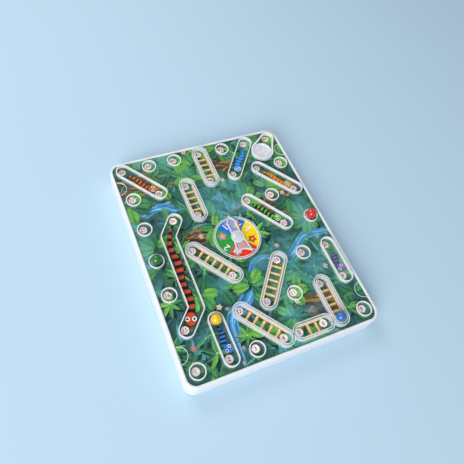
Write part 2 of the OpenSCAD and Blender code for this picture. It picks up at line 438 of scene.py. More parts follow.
@dataclass(frozen=True)
class JungleFloor(Finish):
    """Printed ground of the card: patches of shade, moss and earth with short brush strokes.

    Attributes:
        patch_mm: width of the patches.
        stroke_mm: width of the brush strokes.
    """

    patch_mm: float = 24.0
    stroke_mm: float = 1.2
    # Inks of the patches, from the shade up, with their places on the noise
    STOPS = ((0.30, Ink.DEEP_SHADE), (0.40, Ink.TEAL_SHADE), (0.50, Ink.FOREST), (0.58, Ink.MOSS), (0.66, Ink.MIST))
    CARD_CORE = "#D8D2C4"

    def surface(self, tree: bpy.types.NodeTree) -> bpy.types.NodeSocket:
        """Lay out the nodes.

        Args:
            tree: empty node tree.

        Returns:
            The output that feeds the surface.
        """
        coords = add_node(tree, "ShaderNodeTexCoord")
        place = coords.outputs["Object"]
        patches = add_node(tree, "ShaderNodeTexNoise", inputs={
            "Vector": place, "Scale": cycles_per_metre(self.patch_mm), "Detail": 4.0, "Roughness": 0.6})
        ramp = add_node(tree, "ShaderNodeValToRGB", inputs={"Fac": patches.outputs["Fac"]})
        for stop, _ in self.STOPS[1:-1]:
            ramp.color_ramp.elements.new(stop)
        for element, (stop, ink) in zip(ramp.color_ramp.elements, self.STOPS):
            element.position = stop
            element.color = linear(ink.value)
        slant = add_node(tree, "ShaderNodeMapping", inputs={
            "Vector": place, "Rotation": (0.0, 0.0, 0.6), "Scale": (1.0, 0.25, 1.0)})
        strokes = add_node(tree, "ShaderNodeTexNoise", inputs={
            "Vector": slant.outputs["Vector"], "Scale": cycles_per_metre(self.stroke_mm), "Detail": 2.0})
        depth = add_node(tree, "ShaderNodeMapRange", inputs={
            "Value": strokes.outputs["Fac"], "From Min": 0.3, "From Max": 0.7, "To Min": 0.7, "To Max": 1.35})
        ground = add_node(tree, "ShaderNodeVectorMath", {"operation": "SCALE"}, {
            0: ramp.outputs["Color"], "Scale": depth.outputs["Result"]})
        facing = add_node(tree, "ShaderNodeSeparateXYZ", inputs={"Vector": coords.outputs["Normal"]})
        printed = add_node(tree, "ShaderNodeMath", {"operation": "GREATER_THAN"}, {
            0: facing.outputs["Z"], 1: LEVEL_FACE})
        core = add_node(tree, "ShaderNodeMix", {"data_type": "RGBA"}, {
            "Factor": printed.outputs[0], 6: linear(self.CARD_CORE), 7: ground.outputs["Vector"]})
        shader = add_node(tree, "ShaderNodeBsdfPrincipled", inputs={
            "Base Color": core.outputs[2], **VARNISH})
        return shader.outputs["BSDF"]


def make_piece(name: str, bm: bmesh.types.BMesh, material: bpy.types.Material, body: str,
               replaces: str | None = None, smooth_angle: float | None = math.radians(35)) -> bpy.types.Object:
    """Turn a bmesh into a piece that rides on a body.

    Args:
        name: name of the piece.
        bm: mesh in its place, in metres; it is freed.
        material: finish of the piece.
        body: body that carries the piece.
        replaces: solid that the piece stands for.
        smooth_angle: edges flatter than this are shaded smooth; None shades every face flat.

    Returns:
        The new object.
    """
    mesh = bpy.data.meshes.new(name)
    bm.to_mesh(mesh)
    bm.free()
    if smooth_angle is not None:
        mesh.shade_smooth()
        mesh.set_sharp_from_angle(angle=smooth_angle)
    mesh.materials.append(material)
    piece = bpy.data.objects.new(name, mesh)
    bpy.context.scene.collection.objects.link(piece)
    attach(piece, body)
    if replaces:
        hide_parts(replaces)
    LOG.info("%s: %d faces on %s", name, len(mesh.polygons), body)
    return piece


def heading_vector(angle: float) -> Vector:
    """Unit vector on the board at an angle from +X."""
    return Vector((math.cos(angle), math.sin(angle)))


def centre_of(node: str) -> Vector:
    """Centre of a solid's box."""
    low, high = (Vector(corner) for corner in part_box(node))
    return (low + high) / 2


@dataclass(frozen=True)
class BoardGrid:
    """Places of the game on the card, worked out from the balls and the card of the frame.

    Attributes:
        column_pitch: distance between columns, in metres.
        row_pitch: distance between rows, in metres.
        card_top: height of the printed face.
        half_w: half the width of the card.
        half_l: half the length of the card.
    """

    column_pitch: float
    row_pitch: float
    card_top: float
    half_w: float
    half_l: float

    # Columns of the places in each row, in playing order, and the row that they lie in
    ROW_SHARES = (
        (-3, (-3, -1.89, -1, 0, 0.569, 1.471, 2.04, 3)),
        (-2, (3, 2.04, 1, 0, -1, -1.89, -2.87)),
        (-1, (-3, -0.7, 1, 2, 3)),
        (0, (3, 1.93, -1.68, -3)),
        (1, (-3, -1.9, -0.96, 1, 2, 3)),
        (2, (3, 2, 1, 0.03, -0.96, -2, -3)),
        (3, (-3, -2, -1, 0.03, 1, 2, 3)),
    )
    # Places that lie off their row
    ROW_STEP_SHARES = {17: -0.03, 23: -0.03}
    # Bare edge of the print, and the length that the card's corners take off it
    MARGIN = 0.1 * MM
    CORNER = 2.5 * MM

    @classmethod
    def from_frame(cls) -> "BoardGrid":
        """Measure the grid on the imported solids.

        Returns:
            The grid.
        """
        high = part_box("printed_card")[1]
        return cls(column_pitch=centre_of("red_ball").x / 3, row_pitch=-centre_of("yellow_ball").y / 2,
                   card_top=high[2], half_w=high[0], half_l=high[1])

    def at(self, column: float, row: float) -> Vector:
        """Point on the board at a column and a row counted from the middle."""
        return Vector((column * self.column_pitch, row * self.row_pitch))

    def print_size(self) -> tuple[float, float, float]:
        """Half the width and half the length of the print, and what its corners lose."""
        return self.half_w - self.MARGIN, self.half_l - self.MARGIN, self.CORNER

    def places(self) -> dict[int, Vector]:
        """Give each number its point on the board.

        Returns:
            Number to point, from 1 to the last place.
        """
        shares = [(column, row) for row, columns in self.ROW_SHARES for column in columns]
        return {number: self.at(column, row + self.ROW_STEP_SHARES.get(number, 0))
                for number, (column, row) in enumerate(shares, start=1)}


class Path:
    """Smooth curve through a few points of the board, read by its share of length."""

    SAMPLES = 24

    def __init__(self, points: Sequence[Vector]) -> None:
        """Sample the curve.

        Args:
            points: two or more points, in metres.
        """
        ends = [2 * points[0] - points[1], *points, 2 * points[-1] - points[-2]]
        self.samples = [points[0].copy()]
        for before, start, stop, after in zip(ends, ends[1:], ends[2:], ends[3:]):
            for step in range(1, self.SAMPLES + 1):
                t = step / self.SAMPLES
                self.samples.append(0.5 * (2 * start + (stop - before) * t
                                           + (2 * before - 5 * start + 4 * stop - after) * t ** 2
                                           + (3 * start - before - 3 * stop + after) * t ** 3))
        self.lengths = [0.0]
        for start, stop in zip(self.samples, self.samples[1:]):
            self.lengths.append(self.lengths[-1] + (stop - start).length)

    @property
    def length(self) -> float:
        """Length of the curve in metres."""
        return self.lengths[-1]

    def at(self, share: float) -> tuple[Vector, Vector]:
        """Point and sideways direction at a share of the length.

        Args:
            share: from 0 at the first point to 1 at the last.

        Returns:
            The point, and the unit vector to its left.
        """
        goal = min(max(share, 0.0), 1.0) * self.length
        index = next((i for i, reach in enumerate(self.lengths[1:]) if reach >= goal), len(self.samples) - 2)
        start, stop = self.samples[index], self.samples[index + 1]
        span = self.lengths[index + 1] - self.lengths[index]
        along = (stop - start).normalized()
        point = start.lerp(stop, (goal - self.lengths[index]) / span)
        return point, Vector((-along.y, along.x))


@dataclass
class PrintStack:
    """Heights of the printed shapes: each lies a hair above whatever it covers.

    Attributes:
        base: height under the first shape, in metres.
        step: height between two shapes that overlap, thinner than anyone could see.
        cell: side of the squares in which overlaps are looked up.
        levels: number of shapes in each square.
    """

    base: float
    step: float = 0.001 * MM
    cell: float = 1.5 * MM
    levels: dict[tuple[int, int], int] = field(default_factory=dict)

    def settle(self, verts: Sequence[bmesh.types.BMVert]) -> None:
        """Lay a new shape on the shapes that it covers.

        Args:
            verts: corners of the shape, in their places on the board.
        """
        columns, rows = (range(math.floor(min(axis) / self.cell), math.floor(max(axis) / self.cell) + 1)
                         for axis in zip(*((vert.co.x, vert.co.y) for vert in verts)))
        squares = [(column, row) for column in columns for row in rows]
        level = 1 + max(self.levels.get(square, 0) for square in squares)
        self.levels.update(dict.fromkeys(squares, level))
        for vert in verts:
            vert.co.z = self.base + level * self.step


class InkSheet:
    """One printed layer of flat shapes, each in its ink, drawn page by page."""

    ROUND_STEPS = 24
    # Width of a leaf's ends over its widest, and the power that puts the widest place near the foot
    LEAF_TIP = 0.05
    LEAF_BELLY = 0.8
    PETALS = 5
    # Height of a digit and thickening of its strokes, over the size of the font
    DIGIT_SHARE = 0.7
    DIGIT_BOLD = 0.015
    CUT_GAP = 0.0001 * MM
    # Corners on a page before the next one is started, because operators slow down on a large mesh
    PAGE_VERTS = 1500

    def __init__(self, name: str, stack: PrintStack) -> None:
        """Start an empty sheet.

        Args:
            name: name of the printed layer.
            stack: heights that it shares with the other layers.
        """
        self.name = name
        self.stack = stack
        self.pages: list[bpy.types.Mesh] = []
        self.open_page()

    def open_page(self) -> None:
        """Start an empty page."""
        self.bm = bmesh.new()
        self.ink = self.bm.loops.layers.float_color.new("ink")

    def close_page(self) -> None:
        """Put the page away as a mesh."""
        page = bpy.data.meshes.new("page")
        self.bm.to_mesh(page)
        self.bm.free()
        self.pages.append(page)

    def bind(self) -> bmesh.types.BMesh:
        """Join the pages to one mesh.

        Returns:
            The whole layer.
        """
        self.close_page()
        whole = bmesh.new()
        for page in self.pages:
            whole.from_mesh(page)
            bpy.data.meshes.remove(page)
        return whole

    def lay(self, verts: Sequence[bmesh.types.BMVert]) -> None:
        """Lay a finished shape on those below it, and turn the page when it is full.

        Args:
            verts: corners of the shape.
        """
        self.stack.settle(verts)
        if len(self.bm.verts) > self.PAGE_VERTS:
            self.close_page()
            self.open_page()

    def tint(self, faces: Faces, colour: Ink) -> None:
        """Give faces an ink.

        Args:
            faces: faces of the page.
            colour: their ink.
        """
        value = linear(colour.value)
        for face in faces:
            for loop in face.loops:
                loop[self.ink] = value

    def ribbon(self, lanes: int, steps: int, point_at: Callable[[float, float], Vector],
               ink_at: Callable[[int, int], Ink]) -> None:
        """Print a band of cells that follows a curve.

        Args:
            lanes: cells across the band.
            steps: cells along the band.
            point_at: point of the board for a place across, from -1 to 1, and along, from 0 to 1.
            ink_at: ink of a cell by its lane and its step.
        """
        verts = bmesh.ops.create_grid(self.bm, x_segments=lanes, y_segments=steps, size=1.0)["verts"]
        for face in {face for vert in verts for face in vert.link_faces}:
            middle = face.calc_center_median()
            lane = int((middle.x + 1) / 2 * lanes)
            step = int((middle.y + 1) / 2 * steps)
            self.tint((face,), ink_at(lane, step))
        for vert in verts:
            vert.co.xy = point_at(vert.co.x, (vert.co.y + 1) / 2)
        self.lay(verts)

    def leaf(self, root: Vector, heading: float, length: float, width: float, light: Ink, dark: Ink,
             curl: float = 0.0, steps: int = 5) -> None:
        """Print a pointed leaf with a light and a dark half.

        Args:
            root: foot of the leaf.
            heading: direction of its foot, in radians from +X.
            length: length along its rib.
            width: width at its widest.
            light: ink of the left half.
            dark: ink of the right half.
            curl: turn of the rib from foot to tip, in radians.
            steps: cells along the leaf.
        """
        def point_at(across: float, along: float) -> Vector:
            """Point of the leaf.

            Args:
                across: place across, from -1 to 1.
                along: place along, from 0 to 1.

            Returns:
                The point on the board.
            """
            half = width / 2 * (self.LEAF_TIP + (1 - self.LEAF_TIP) * math.sin(math.pi * along ** self.LEAF_BELLY))
            rib = root + length * along * heading_vector(heading + curl * along / 2)
            return rib - across * half * heading_vector(heading + curl * along + math.pi / 2)

        self.ribbon(2, steps, point_at, lambda lane, step: light if lane == 0 else dark)

    def disc(self, centre: Vector, radius: float, colour: Ink, stretch: float = 1.0, turn: float = 0.0) -> None:
        """Print a disc or an oval.

        Args:
            centre: its middle.
            radius: half its width.
            colour: its ink.
            stretch: length over width.
            turn: direction of its length, in radians from +X.
        """
        place = Matrix.Translation((centre.x, centre.y, 0.0)) @ Matrix.Rotation(turn, 4, "Z")
        shape = place @ Matrix.Diagonal((stretch, 1.0, 1.0, 1.0))
        made = bmesh.ops.create_circle(self.bm, cap_ends=True, segments=self.ROUND_STEPS, radius=radius,
                                       matrix=shape)["verts"]
        self.tint({face for vert in made for face in vert.link_faces}, colour)
        self.lay(made)

    def flower(self, centre: Vector, reach: float, light: Ink, dark: Ink, turn: float) -> None:
        """Print a flower with five petals.

        Args:
            centre: middle of the flower.
            reach: length of a petal.
            light: ink of the left half of a petal.
            dark: ink of the right half.
            turn: direction of its first petal.
        """
        for petal in range(self.PETALS):
            self.leaf(centre, turn + petal * FULL_TURN / self.PETALS, reach, reach * 0.75, light, dark)
        self.disc(centre, reach * 0.28, Ink.POLLEN)

    def number(self, text: str, centre: Vector, height: float, colour: Ink, turn: float = 0.0) -> None:
        """Print a plain number.

        Args:
            text: its digits.
            centre: its middle.
            height: height of a digit.
            colour: its ink.
            turn: turn of its base line, in radians.
        """
        words = bpy.data.curves.new("number", "FONT")
        words.body = text
        words.align_x = "CENTER"
        words.align_y = "CENTER"
        words.resolution_u = 3
        words.size = height / self.DIGIT_SHARE
        words.offset = self.DIGIT_BOLD * words.size
        holder = bpy.data.objects.new("number", words)
        flat = bpy.data.meshes.new_from_object(holder)
        flat.transform(Matrix.Translation((centre.x, centre.y, 0.0)) @ Matrix.Rotation(turn, 4, "Z"))
        known = set(self.bm.verts)
        self.bm.from_mesh(flat)
        made = [vert for vert in self.bm.verts if vert not in known]
        self.tint({face for vert in made for face in vert.link_faces}, colour)
        self.lay(made)
        bpy.data.objects.remove(holder)
        bpy.data.curves.remove(words)
        bpy.data.meshes.remove(flat)

    def piece(self, material: bpy.types.Material, half_w: float, half_l: float, corner: float) -> bpy.types.Object:
        """Finish the layer as a piece of the card, cut off along the card's edges and corners.

        Args:
            material: printed ink.
            half_w: half the width that stays.
            half_l: half the length that stays.
            corner: length cut off each side at a corner.

        Returns:
            The printed piece.
        """
        bm = self.bind()
        cuts = [((sx * half_w, 0, 0), (sx, 0, 0)) for sx in (-1, 1)]
        cuts += [((0, sy * half_l, 0), (0, sy, 0)) for sy in (-1, 1)]
        cuts += [((sx * (half_w - corner), sy * half_l, 0), (sx, sy, 0)) for sx in (-1, 1) for sy in (-1, 1)]
        for point, normal in cuts:
            everything = bm.verts[:] + bm.edges[:] + bm.faces[:]
            bmesh.ops.bisect_plane(bm, geom=everything, plane_co=point, plane_no=normal, clear_outer=True,
                                   dist=self.CUT_GAP)
        return make_piece(self.name, bm, material, Body.BASE.value, smooth_angle=None)


@dataclass
class Jungle:
    """Printed ground, plants, stream and flowers of the card.

    Attributes:
        grid: places of the board.
        stack: heights of the print.
        seed: start of the random draws, so that each run gives the same print.
        thicket: number of leaves in the shaded thicket.
        plant_pitch: distance between plants.
        stream_half: half the width of the stream.
        flower_reach: length of a petal.
        ripple_w: width of a ripple.
        rib_w: width of the rib of a frond.
        rng: random draws.
        sheet: printed layer of the plants.
    """

    grid: BoardGrid
    stack: PrintStack
    seed: int = 11
    thicket: int = 420
    plant_pitch: float = 17.5 * MM
    stream_half: float = 6.5 * MM
    flower_reach: float = 2.2 * MM
    ripple_w: float = 0.9 * MM
    rib_w: float = 0.7 * MM
    rng: random.Random = field(init=False)
    sheet: InkSheet = field(init=False)

    SHADES = (Ink.DEEP_SHADE, Ink.TEAL_SHADE, Ink.FOREST, Ink.MOSS, Ink.TEAL_SHADE, Ink.FOREST, Ink.MIST)
    TONES = ((Ink.FOREST, Ink.TEAL_SHADE), (Ink.MOSS, Ink.FOREST), (Ink.FERN, Ink.MOSS), (Ink.LEAF, Ink.FERN),
             (Ink.BRIGHT_LEAF, Ink.FERN))
    EARTH_INKS = (Ink.EARTH_DARK, Ink.EARTH, Ink.OCHRE, Ink.EARTH, Ink.OCHRE, Ink.EARTH_DARK)
    WATER_INKS = (Ink.TEAL_SHADE, Ink.MIST, Ink.WATER_DEEP, Ink.WATER, Ink.WATER_LIGHT, Ink.WATER, Ink.WATER_DEEP,
                  Ink.MIST, Ink.TEAL_SHADE)
    RIPPLE_INKS = (Ink.WATER_LIGHT, Ink.WATER_LIGHT, Ink.WATER_DEEP, Ink.WATER)
    FLOWER_INKS = ((Ink.PETAL_WHITE, Ink.BLUSH), (Ink.PETAL_PINK, Ink.RED), (Ink.PETAL_WHITE, Ink.PETAL_PINK))
    # Least and greatest, in millimetres: length and width of a thicket leaf, width of a stroke of earth, length of a
    # ripple and radius of a stone
    THICKET_L_MM = (7, 15)
    THICKET_W_MM = (1.6, 3.6)
    EARTH_W_MM = (1.0, 2.4)
    RIPPLE_L_MM = (4, 9)
    STONE_R_MM = (0.8, 1.6)
    # Lengths of the water that take one cell, one ripple and one stone
    WATER_STEP = 2 * MM
    RIPPLE_PITCH = 3 * MM
    STONE_PITCH = 7 * MM
    STONE_STRETCH = 1.4
    # Strokes of each ink on a patch of earth
    EARTH_STROKES = 11
    # How far a plant strays, over the plant pitch, and how much room it leaves to the water and to bare earth
    STRAY = 0.4
    BANK_SHARE = 0.5
    BARE_SHARE = 0.45
    # Least and greatest number of leaves of a broad-leaved plant and of fronds of a fern
    BROAD_LEAVES = (7, 9)
    FRONDS = (4, 7)
    # Share of ferns among the plants, turn between two fronds, and pairs of leaflets on a frond
    FERN_SHARE = 0.62
    FROND_TURN = 0.85
    LEAFLET_PAIRS = 8
    # How far a plant's shade falls beside it
    SHADE_FALL = (0.8 * MM, -1.0 * MM)
    # Stream and pond on the board, as columns and rows from the middle
    STREAM_SHARES = ((3.4, -0.55), (2.4, -0.5), (1.5, -0.95), (0.35, -0.85), (-0.55, -1.75), (-1.35, -2.1),
                     (-1.5, -3.3))
    POND_SHARES = ((-2.9, 1.45), (-2.3, 1.55), (-1.6, 1.35))
    # Bare earth: column, row and width over the plant pitch
    EARTH_SHARES = ((-2.5, 2.5, 1.9), (1.6, 0.75, 1.9), (-1.35, 0.35, 1.5), (1.3, -2.4, 1.8), (0.6, 2.55, 1.4))
    # Flowers: column and row
    FLOWER_SHARES = ((-2.55, 2.35), (0.45, 1.95), (2.45, 1.0), (-1.2, 0.35), (1.25, -0.55), (-2.85, -2.45),
                     (2.55, -1.55), (0.95, -2.2), (-0.5, 3.25), (-1.6, -1.7))

    def __post_init__(self) -> None:
        """Start the random draws and the printed layer."""
        self.rng = random.Random(self.seed)
        self.sheet = InkSheet("print_jungle", self.stack)

    def build(self, ground: bpy.types.Material, ink: bpy.types.Material) -> list[bpy.types.Object]:
        """Print the whole jungle.

        Args:
            ground: printed ground.
            ink: printed ink.

        Returns:
            The printed pieces.
        """
        size = self.grid.print_size()
        soil = InkSheet("print_ground", self.stack)
        soil.ribbon(12, 16, lambda across, along: Vector((across * size[0], (2 * along - 1) * size[1])),
                    lambda lane, step: Ink.FOREST)
        self.shade()
        for column, row, share in self.EARTH_SHARES:
            self.earth(self.grid.at(column, row), share * self.plant_pitch)
        self.water(self.STREAM_SHARES)
        self.water(self.POND_SHARES)
        self.plants()
        for column, row in self.FLOWER_SHARES:
            light, dark = self.rng.choice(self.FLOWER_INKS)
            self.sheet.flower(self.grid.at(column, row), self.flower_reach, light, dark, self.rng.uniform(0, FULL_TURN))
        return [soil.piece(ground, *size), self.sheet.piece(ink, *size)]

    def shade(self) -> None:
        """Print the dark leaves of the thicket all over the card."""
        rng = self.rng
        for _ in range(self.thicket):
            root = Vector((rng.uniform(-1, 1) * self.grid.half_w, rng.uniform(-1, 1) * self.grid.half_l))
            light = rng.randrange(len(self.SHADES) - 1)
            self.sheet.leaf(root, rng.uniform(0, FULL_TURN), rng.uniform(*self.THICKET_L_MM) * MM,
                            rng.uniform(*self.THICKET_W_MM) * MM, self.SHADES[light + 1], self.SHADES[light],
                            rng.uniform(-0.8, 0.8))

    def earth(self, centre: Vector, width: float) -> None:
        """Print a patch of bare earth in short strokes.

        Args:
            centre: middle of the patch.
            width: width of the patch.
        """
        rng = self.rng
        for ink in self.EARTH_INKS:
            for _ in range(self.EARTH_STROKES):
                root = centre + 0.4 * width * Vector((rng.uniform(-1, 1), rng.uniform(-0.6, 0.6)))
                heading = rng.uniform(-0.5, 0.5) + rng.choice((0, math.pi))
                self.sheet.leaf(root, heading, rng.uniform(0.25, 0.55) * width, rng.uniform(*self.EARTH_W_MM) * MM,
                                ink, ink, rng.uniform(-0.5, 0.5))

    def water(self, shares: Sequence[tuple[float, float]]) -> None:
        """Print a stream or pond with a deep middle, light ripples and stones on its banks.

        Args:
            shares: its course as columns and rows.
        """
        course = Path([self.grid.at(column, row) for column, row in shares])

        def point_at(across: float, along: float) -> Vector:
            """Point of the water.

            Args:
                across: place across, from -1 to 1.
                along: place along, from 0 to 1.

            Returns:
                The point on the board.
            """
            point, side = course.at(along)
            swell = 0.75 + 0.3 * math.sin(9 * along + 2) + 0.15 * math.sin(31 * along)
            taper = min(1.0, 0.25 + 6 * along, 0.25 + 6 * (1 - along))
            return point + across * self.stream_half * swell * taper * side

        self.sheet.ribbon(len(self.WATER_INKS), int(course.length / self.WATER_STEP), point_at,
                          lambda lane, step: self.WATER_INKS[lane])
        for _ in range(int(course.length / self.RIPPLE_PITCH)):
            along = self.rng.uniform(0.02, 0.95)
            across = self.rng.uniform(-0.7, 0.7)
            heading = math.atan2(*reversed(point_at(across, along + 0.03) - point_at(across, along)))
            ink = self.rng.choice(self.RIPPLE_INKS)
            self.sheet.leaf(point_at(across, along), heading, self.rng.uniform(*self.RIPPLE_L_MM) * MM, self.ripple_w,
                            ink, ink, self.rng.uniform(-0.4, 0.4))
        for _ in range(int(course.length / self.STONE_PITCH)):
            spot = point_at(self.rng.choice((-1.0, 1.0)), self.rng.random())
            radius = self.rng.uniform(*self.STONE_R_MM) * MM
            turn = self.rng.uniform(0, math.pi)
            self.sheet.disc(spot, radius, Ink.STONE, self.STONE_STRETCH, turn)
            shine = spot + Vector((-0.2, 0.25)) * radius
            self.sheet.disc(shine, 0.6 * radius, Ink.STONE_LIGHT, self.STONE_STRETCH, turn)

    def plants(self) -> None:
        """Print ferns and broad-leaved plants all over the card, those further down over those further up."""
        rng = self.rng
        spots = []
        rows = math.ceil(2 * self.grid.half_l / self.plant_pitch)
        columns = math.ceil(2 * self.grid.half_w / self.plant_pitch)
        for row in range(rows + 1):
            for column in range(columns + 1):
                jitter = Vector((rng.uniform(-self.STRAY, self.STRAY), rng.uniform(-self.STRAY, self.STRAY)))
                corner = Vector((-self.grid.half_w, self.grid.half_l))
                spots.append(corner + self.plant_pitch * (Vector((column + 0.5 * (row % 2), -row)) + jitter))
        water = [self.grid.at(*share) for shares in (self.STREAM_SHARES, self.POND_SHARES) for share in shares]
        for spot in sorted(spots, key=lambda point: -point.y):
            bank = min((spot - point).length for point in water)
            bare = min((spot - self.grid.at(column, row)).length - self.BARE_SHARE * share * self.plant_pitch
                       for column, row, share in self.EARTH_SHARES)
            if bank < self.BANK_SHARE * self.plant_pitch or bare < 0:
                continue
            if rng.random() < self.FERN_SHARE:
                self.fern_clump(spot, rng.uniform(0.6, 0.85) * self.plant_pitch)
            else:
                self.rosette(spot, rng.uniform(0.45, 0.65) * self.plant_pitch)

    def rosette(self, centre: Vector, reach: float) -> None:
        """Print a plant of broad leaves around a point, over its own shade.

        Args:
            centre: middle of the plant.
            reach: length of its leaves.
        """
        rng = self.rng
        count = rng.randint(*self.BROAD_LEAVES)
        start = rng.uniform(0, FULL_TURN)
        turns = [start + FULL_TURN * i / count + rng.uniform(-0.15, 0.15) for i in range(count)]
        for turn in turns:
            self.sheet.leaf(centre + Vector(self.SHADE_FALL), turn, reach * 1.05, reach * 0.36, Ink.DEEP_SHADE,
                            Ink.DEEP_SHADE, 0.3)
        rng.shuffle(turns)
        first = rng.randint(0, 2)
        for i, turn in enumerate(turns):
            light, dark = self.TONES[min(first + i * 3 // count, len(self.TONES) - 1)]
            self.sheet.leaf(centre, turn, reach * rng.uniform(0.8, 1.1), reach * rng.uniform(0.26, 0.34), light, dark,
                            rng.uniform(-0.5, 0.5))
        self.sheet.disc(centre, reach * 0.07, Ink.PALE_LEAF)

    def fern_clump(self, root: Vector, length: float) -> None:
        """Print a few fern fronds that fan out from one root, over their shade.

        Args:
            root: foot of the fronds.
            length: length of a frond.
        """
        rng = self.rng
        fronds = rng.randint(*self.FRONDS)
        middle = rng.uniform(0, FULL_TURN)
        headings = [middle + (i - (fronds - 1) / 2) * self.FROND_TURN for i in range(fronds)]
        for heading in headings:
            self.sheet.leaf(root + Vector(self.SHADE_FALL), heading, length, 0.4 * length, Ink.DEEP_SHADE,
                            Ink.DEEP_SHADE)
        first = rng.randint(0, 2)
        for i, heading in enumerate(headings):
            self.fern(root, heading, length * rng.uniform(0.85, 1.15), self.TONES[first + i % 3])

    def fern(self, root: Vector, heading: float, length: float, tones: tuple[Ink, Ink]) -> None:
        """Print a fern frond: a bent rib with pairs of narrow leaflets.

        Args:
            root: foot of the frond.
            heading: direction of the foot.
            length: length of the rib.
            tones: light and dark ink.
        """
        light, dark = tones
        curl = self.rng.uniform(-0.7, 0.7)
        for pair in range(self.LEAFLET_PAIRS):
            along = (pair + 1) / (self.LEAFLET_PAIRS + 1)
            foot = root + length * along * heading_vector(heading + curl * along / 2)
            reach = length * 0.4 * math.sin(math.pi * (0.18 + 0.77 * along))
            for side in (-1, 1):
                self.sheet.leaf(foot, heading + curl * along + side * 0.95, reach, reach * 0.3, light, dark,
                                -0.4 * side, steps=3)
        self.sheet.leaf(root, heading, length, self.rib_w, dark, dark, curl)


